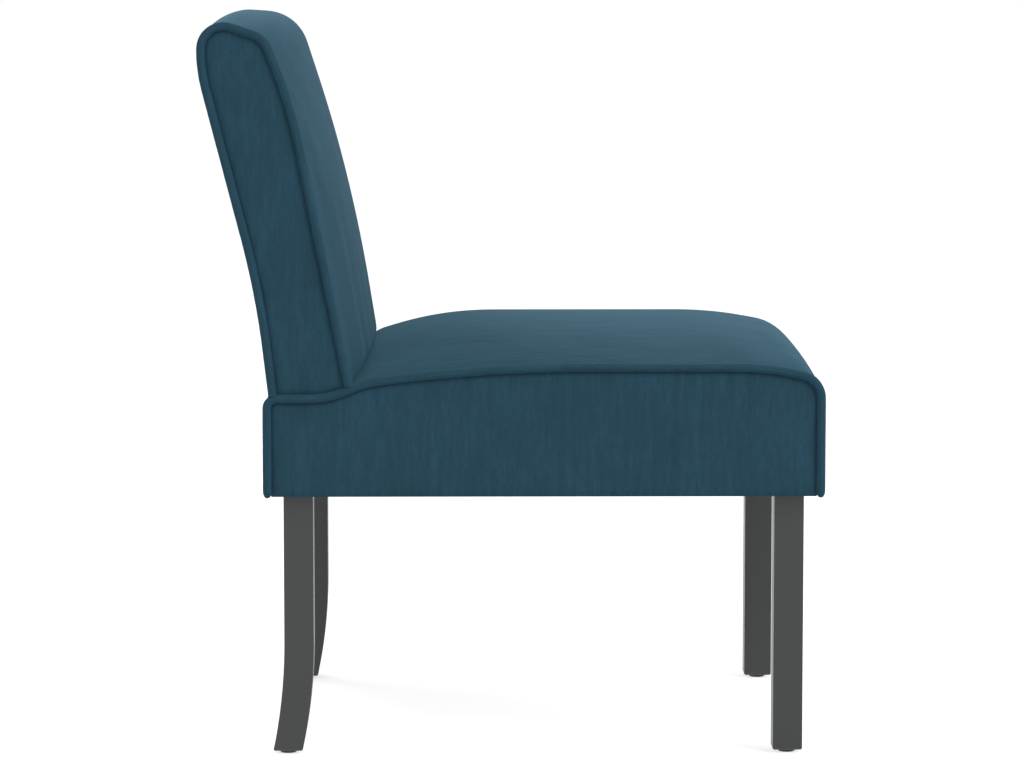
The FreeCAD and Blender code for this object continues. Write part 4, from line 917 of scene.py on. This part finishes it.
def tone(name, description, text):
    """A setting that is a colour."""
    return bpy.props.FloatVectorProperty(name=name, description=description, default=hex_colour(text)[:3], size=3,
                                         subtype="COLOR", min=0, max=1)


class ChairCloth(bpy.types.PropertyGroup):
    """Sizes and colour of the velvet."""
    colour: tone("Velvet", "Colour of the velvet's pile", "#1F4151")
    pile_pitch: length("Pile grain", "Size of the pile's tufts, drawn twice as coarse as real to show", 1.5)
    mesh_pitch: length("Cloth mesh", "Cell size of the simulated cloth", 6.5, min=4 * MM)
    fullness: length("Fullness", "How far inside its stuffing the cloth starts before it is blown out", 2.5)
    tuck: length("Seam depth", "How deep the covers dip beside a welt", 1.6)
    gather: length("Welt gathers", "Height of the welts' small gathers", 0.5)


class ChairWood(bpy.types.PropertyGroup):
    """Finish of the legs and rounding of the frame."""
    colour: tone("Lacquer", "Colour of the legs' lacquer", "#292C2B")
    edge: length("Edge rounding", "Rounding of the legs' sanded edges", 0.9)
    frame_edge: length("Frame rounding", "Rounding of the back's posts and top rail under the velvet", 5.0)


class ChairStage(bpy.types.PropertyGroup):
    """Camera and light."""
    distance: length("Camera distance", "Camera to the middle of the chair", 4452)
    height: length("Camera height", "Camera above the floor", 848)
    lens: bpy.props.FloatProperty(name="Lens", description="Focal length", default=142.6, subtype="DISTANCE_CAMERA")
    floor_lift: bpy.props.FloatProperty(name="Floor white", description="Light the camera sees the floor give off",
                                        default=0.68, subtype="FACTOR")


class CHAIR_OT_seat_cover(bpy.types.Operator):
    """Velvet wrapped over the seat's crowned foam"""
    bl_idname = "chair.seat_cover"
    bl_label = "Seat cover"

    def execute(self, context):
        cover = wrapped_cover("velvet_seat", seat_wrap, pressure=4.0, cap=6.0, folds=0.0, seed=11)
        own(cover, velvet(), "velvet", "seat_cover")
        return {"FINISHED"}


class CHAIR_OT_back_cover(bpy.types.Operator):
    """Velvet wrapped over the back's crowned foam"""
    bl_idname = "chair.back_cover"
    bl_label = "Back cover"

    def execute(self, context):
        cover = wrapped_cover("velvet_back", back_wrap, pressure=4.0, cap=6.0, folds=1.8, seed=23)
        own(cover, velvet(), "velvet", "back_cover")
        return {"FINISHED"}


class CHAIR_OT_side_panels(bpy.types.Operator):
    """Velvet side panels of the seat and the back"""
    bl_idname = "chair.side_panels"
    bl_label = "Side panels"

    def execute(self, context):
        for part, edges, seed in (("seat", seat_panel_edges(), 31), ("back", back_panel_edges(), 47)):
            for side, sign in SIDES:
                panel = side_panel(f"velvet_{part}_side_{side}", sign, edges, 2.0, 3.0, seed + sign)
                own(panel, velvet(), "velvet", f"{part}_side_panel_{side}")
        return {"FINISHED"}


class CHAIR_OT_welts(bpy.types.Operator):
    """Covered cords sewn in round the side panels"""
    bl_idname = "chair.welts"
    bl_label = "Welts"

    def execute(self, context):
        seat_path, _ = traced(seat_edge(), 2.5)
        corners = back_edge()
        over, _ = traced(grown(seat_edge(), CORD * 0.7), 2.0)
        points = [np.array(corner[:2]) for corner in corners]
        rear, _ = crossing(points[1], points[0], over)
        front, _ = crossing(points[-2], points[-1], over)
        back_path, _ = traced([(*rear, 0)] + corners[1:-1] + [(*front, 0)], 2.5)
        for side, sign in SIDES:
            welt = covered_cord(f"velvet_seat_welt_{side}", sign, welt_line(seat_path, (0, -1)), 5)
            own(welt, velvet(), "velvet", f"seat_welt_{side}")
            welt = covered_cord(f"velvet_back_welt_{side}", sign, welt_line(back_path, ()), 9)
            own(welt, velvet(), "velvet", f"back_welt_{side}")
        return {"FINISHED"}


class CHAIR_OT_foam(bpy.types.Operator):
    """Foam inside the seat and the back"""
    bl_idname = "chair.foam"
    bl_label = "Foam"

    def execute(self, context):
        for part in ("seat", "back"):
            foam = node_copy(f"foam_{part}", f"{part}_foam", 7.0, 5.0)
            own(foam, upholstery_foam(), "foam", f"{part}_foam")
        return {"FINISHED"}


class CHAIR_OT_webbing(bpy.types.Operator):
    """Webbing straps of the seat and the back"""
    bl_idname = "chair.webbing"
    bl_label = "Webbing"

    def execute(self, context):
        tree = tree_named("strap_row", strap_tree)
        for name, node, lengthwise in (("straps_seat_lengthwise", "seat_webbing_lengthwise", True),
                                       ("straps_seat_crosswise", "seat_webbing_crosswise", False)):
            low, high = (np.array(corner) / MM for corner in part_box(node))
            run = Y if lengthwise else X
            side = X if lengthwise else Y
            count, width, thickness = 4, 50.0, 1.6
            length = high[run] - low[run]
            one = strap(name + "_one", width, length, thickness, 2.5, lengthwise)
            first = (low + high) / 2
            first[side] = low[side] + width / 2
            first[Z] = high[Z] - thickness / 2
            step = np.zeros(3)
            step[side] = (high[side] - low[side] - width) / (count - 1)
            row = grown_by_nodes(name, one, tree, {"Count": count, "First": tuple(first * MM),
                                                   "Pitch": tuple(step * MM), "Webbing": elastic_webbing()})
            own(row, elastic_webbing(), "webbing", node)
        straps = node_copy("straps_back", "back_webbing", 3.0)
        own(straps, elastic_webbing(), "webbing", "back_webbing")
        return {"FINISHED"}


class CHAIR_OT_dust_cover(bpy.types.Operator):
    """Non-woven sheet stapled under the seat"""
    bl_idname = "chair.dust_cover"
    bl_label = "Sheet under the seat"

    def execute(self, context):
        low, high = (np.array(corner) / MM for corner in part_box("dust_cover"))
        legs = [[np.array(corner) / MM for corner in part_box(f"{end}_leg_{side}")]
                for end in ("front", "rear") for side, _ in SIDES]
        half = LEG / 2 + 0.5
        centres = []
        for index, (leg_low, leg_high) in enumerate(legs):
            middle = leg_high[Y] - LEG / 2 if index < 2 else leg_low[Y] + LEG / 2
            centres.append(((leg_low[X] + leg_high[X]) / 2, middle))
        xs = cut_lines(low[X], high[X], [x + side * half for x, _ in centres for side in (-1, 1)], 9.0)
        ys = cut_lines(low[Y], high[Y], [y + side * half for _, y in centres for side in (-1, 1)], 9.0)
        x, y = np.meshgrid(xs, ys, indexing="ij")
        free = np.minimum(np.minimum(x - low[X], high[X] - x), np.minimum(y - low[Y], high[Y] - y))
        sag = 2.2 * np.clip((free - 12) / 60, 0, 1) ** 1.5
        ripple = 0.25 * np.sin(x / 17 + 1.3) * np.sin(y / 23 + 0.4) * np.clip((free - 8) / 30, 0, 1)
        z = low[Z] + 0.55 - sag + ripple
        rows, columns = x.shape
        faces = []
        for face in grid_faces(rows, columns, False):
            i, j = divmod(int(face[0]), columns)
            middle = ((xs[i] + xs[i + 1]) / 2, (ys[j] + ys[j + 1]) / 2)
            if all(abs(middle[0] - cx) > half or abs(middle[1] - cy) > half for cx, cy in centres):
                faces.append(tuple(int(corner) for corner in face))
        grid = np.stack([x, y, z], 2).reshape(-1, 3)
        used = sorted({corner for face in faces for corner in face})
        place = {old: new for new, old in enumerate(used)}
        faces = [tuple(place[corner] for corner in face) for face in faces]
        sheet = mesh_object("sheet_under_seat", grid[used], faces, grid[used][:, :2])
        finished(sheet, wall=0.35)
        own(sheet, spunbond_sheet(), "dust_cover", "dust_cover")
        staples(low, high)
        return {"FINISHED"}


def cut_lines(low, high, wanted, pitch):
    """Grid lines from low to high about a pitch apart, with a line at every wanted place."""
    stops = sorted({round(low, 3), round(high, 3), *(round(place, 3) for place in wanted)})
    stops = [place for index, place in enumerate(stops) if index == 0 or place - stops[index - 1] > 0.5]
    lines = [stops[0]]
    for start, end in zip(stops, stops[1:]):
        steps = max(1, round((end - start) / pitch))
        lines += [start + (end - start) * step / steps for step in range(1, steps + 1)]
    return np.array(lines)


def staples(low, high):
    """Wire staples that hold the sheet under the seat."""
    curve = bpy.data.curves.new("staple_wire", "CURVE")
    curve.dimensions = "3D"
    curve.bevel_depth = 0.45 * MM
    curve.bevel_resolution = 1
    curve.use_fill_caps = True
    spline = curve.splines.new("POLY")
    shape = [(-5.0, 3.0), (-5.0, 0.5), (-4.5, 0.0), (4.5, 0.0), (5.0, 0.5), (5.0, 3.0)]
    spline.points.add(len(shape) - 1)
    for point, (across, up) in zip(spline.points, shape):
        point.co = (across * MM, 0.0, up * MM, 1.0)
    wire = bpy.data.objects.new("staple_wire", curve)
    bpy.context.collection.objects.link(wire)
    mesh = bpy.data.meshes.new_from_object(wire.evaluated_get(bpy.context.evaluated_depsgraph_get()))
    bpy.data.objects.remove(wire)
    one = bpy.data.objects.new("staple_one", mesh)
    bpy.context.collection.objects.link(one)
    inset = 5.0
    size = high - low
    centre = ((low[X] + high[X]) / 2 * MM, (low[Y] + high[Y]) / 2 * MM, (low[Z] - 0.1) * MM)
    row = grown_by_nodes("staples_under_seat", one, tree_named("staple_row", staple_tree), {
        "Run across": (size[X] - 2 * inset) * MM, "Run along": (size[Y] - 2 * inset) * MM, "Spacing": 38 * MM,
        "Centre": centre, "Steel": zinc_steel()})
    own(row, zinc_steel(), "zinc_steel")


def dress(prefixes, material):
    """Give CAD pieces their real finish."""
    for name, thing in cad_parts.items():
        if name.startswith(prefixes):
            thing.data.materials.clear()
            thing.data.materials.append(material)


def softened(prefixes, width, segments=2):
    """Round over the sharp edges of CAD pieces."""
    for name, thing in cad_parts.items():
        if name.startswith(prefixes):
            welded = thing.modifiers.new("weld", "WELD")
            welded.merge_threshold = 0.01 * MM
            rounded = thing.modifiers.new("sanded edges", "BEVEL")
            rounded.width = width
            rounded.segments = segments
            rounded.limit_method = "ANGLE"
            rounded.angle_limit = math.radians(35)
            rounded.harden_normals = False


class CHAIR_OT_legs(bpy.types.Operator):
    """Grey lacquered legs and their glides"""
    bl_idname = "chair.legs"
    bl_label = "Legs"

    def execute(self, context):
        dress(("front_leg", "rear_leg"), satin_lacquer())
        softened(("front_leg", "rear_leg"), context.scene.chair_wood.edge)
        dress("leg_glide", glide_plastic())
        return {"FINISHED"}


class CHAIR_OT_frame(bpy.types.Operator):
    """Beech and plywood frame inside the upholstery"""
    bl_idname = "chair.frame"
    bl_label = "Frame"

    def execute(self, context):
        dress(("seat_rail", "corner_brace", "back_stile", "back_lower_rail", "back_top_rail"), frame_beech())
        dress("deck_board", board_plywood())
        softened(("back_stile", "back_top_rail"), context.scene.chair_wood.frame_edge)
        softened("seat_rail", context.scene.chair_wood.edge * RAIL_ROUNDNESS)
        return {"FINISHED"}


class CHAIR_OT_fasteners(bpy.types.Operator):
    """Bolts, screws, washers and nuts"""
    bl_idname = "chair.fasteners"
    bl_label = "Fasteners"

    def execute(self, context):
        dress(("leg_bolts", "leg_washers", "leg_nuts", "back_screws", "back_washers"), zinc_steel())
        return {"FINISHED"}


# The stage, in metres and in pixels of the photograph's width for what the camera aims at.
FLOOR_HALF = 40000.0
SKY = 0.57  # strength of the white surroundings that light the chair
CAMERA_Y = 0.0467
FOCUS = 4005.0
SIGHT_RIGHT = 45.5
SIGHT_DOWN = 432.5


def lamp(name, place, aim, size, power):
    """A square area lamp that looks at a point."""
    light = bpy.data.lights.new(name, "AREA")
    light.shape = "SQUARE"
    light.size = size
    light.energy = power
    thing = bpy.data.objects.new(name, light)
    thing.location = place
    thing.rotation_euler = (Vector(aim) - Vector(place)).to_track_quat("-Z", "Y").to_euler()
    bpy.context.collection.objects.link(thing)
    return thing


class CHAIR_OT_stage(bpy.types.Operator):
    """White floor, soft studio light and the camera"""
    bl_idname = "chair.stage"
    bl_label = "Stage"

    def execute(self, context):
        stage = context.scene.chair_stage
        corners = [(x * FLOOR_HALF, y * FLOOR_HALF, 0) for x, y in ((-1, -1), (1, -1), (1, 1), (-1, 1))]
        floor = mesh_object("studio_floor", corners, [(0, 1, 2, 3)])
        floor.data.materials.append(studio_floor())
        world = bpy.data.worlds.new("studio")
        world.use_nodes = True
        tree = world.node_tree
        tree.nodes.clear()
        strength = add(tree, "ShaderNodeMapRange", {"Value": seen_white(tree), "To Min": SKY,
                                                    "To Max": 1.0}).outputs["Result"]
        sky = add(tree, "ShaderNodeBackground", {"Color": (1.0, 1.0, 1.0, 1.0), "Strength": strength})
        add(tree, "ShaderNodeOutputWorld", {"Surface": sky.outputs[0]})
        context.scene.world = world
        middle = (0.0, 0.0, 0.45)
        lamp("key", (-1.7, -2.6, 2.9), middle, 2.2, 82)
        lamp("side", (-3.4, 1.6, 1.6), middle, 2.0, 28)
        lamp("rear", (2.4, 2.4, 2.2), middle, 2.0, 40)
        camera = bpy.data.cameras.new("photograph")
        camera.lens = stage.lens
        camera.sensor_width = 36.0
        thing = bpy.data.objects.new("photograph", camera)
        thing.location = (-stage.distance, CAMERA_Y, stage.height)
        aim = Vector((1.0, -SIGHT_RIGHT / FOCUS, -SIGHT_DOWN / FOCUS))
        thing.rotation_euler = aim.to_track_quat("-Z", "Y").to_euler()
        context.collection.objects.link(thing)
        context.scene.camera = thing
        context.scene.view_settings.view_transform = "Standard"
        return {"FINISHED"}


OPERATORS = (CHAIR_OT_stage, CHAIR_OT_seat_cover, CHAIR_OT_back_cover, CHAIR_OT_side_panels, CHAIR_OT_welts,
             CHAIR_OT_foam, CHAIR_OT_webbing, CHAIR_OT_dust_cover, CHAIR_OT_legs, CHAIR_OT_frame,
             CHAIR_OT_fasteners)


class CHAIR_PT_sidebar(bpy.types.Panel):
    """The chair's sizes, colours and pieces"""
    bl_idname = "CHAIR_PT_sidebar"
    bl_label = "Slipper chair"
    bl_space_type = "VIEW_3D"
    bl_region_type = "UI"
    bl_category = "Chair"

    def draw(self, context):
        for settings in (context.scene.chair_cloth, context.scene.chair_wood, context.scene.chair_stage):
            box = self.layout.box()
            for name in settings.__annotations__:
                box.prop(settings, name)
        for operator in OPERATORS:
            self.layout.operator(operator.bl_idname)


GROUPS = (("chair_cloth", ChairCloth), ("chair_wood", ChairWood), ("chair_stage", ChairStage))


def register():
    """Register the classes and hang the settings on the scene."""
    for _, group in GROUPS:
        bpy.utils.register_class(group)
    for name, group in GROUPS:
        setattr(bpy.types.Scene, name, bpy.props.PointerProperty(type=group))
    for item in (*OPERATORS, CHAIR_PT_sidebar):
        bpy.utils.register_class(item)


def unregister():
    """Take the classes and the settings off again."""
    for item in (CHAIR_PT_sidebar, *reversed(OPERATORS)):
        bpy.utils.unregister_class(item)
    for name, group in reversed(GROUPS):
        delattr(bpy.types.Scene, name)
        bpy.utils.unregister_class(group)


def main():
    """Register the classes, then make every piece."""
    register()
    for operator in OPERATORS:
        group, _, name = operator.bl_idname.partition(".")
        getattr(getattr(bpy.ops, group), name)()


if __name__ == "__main__":
    main()
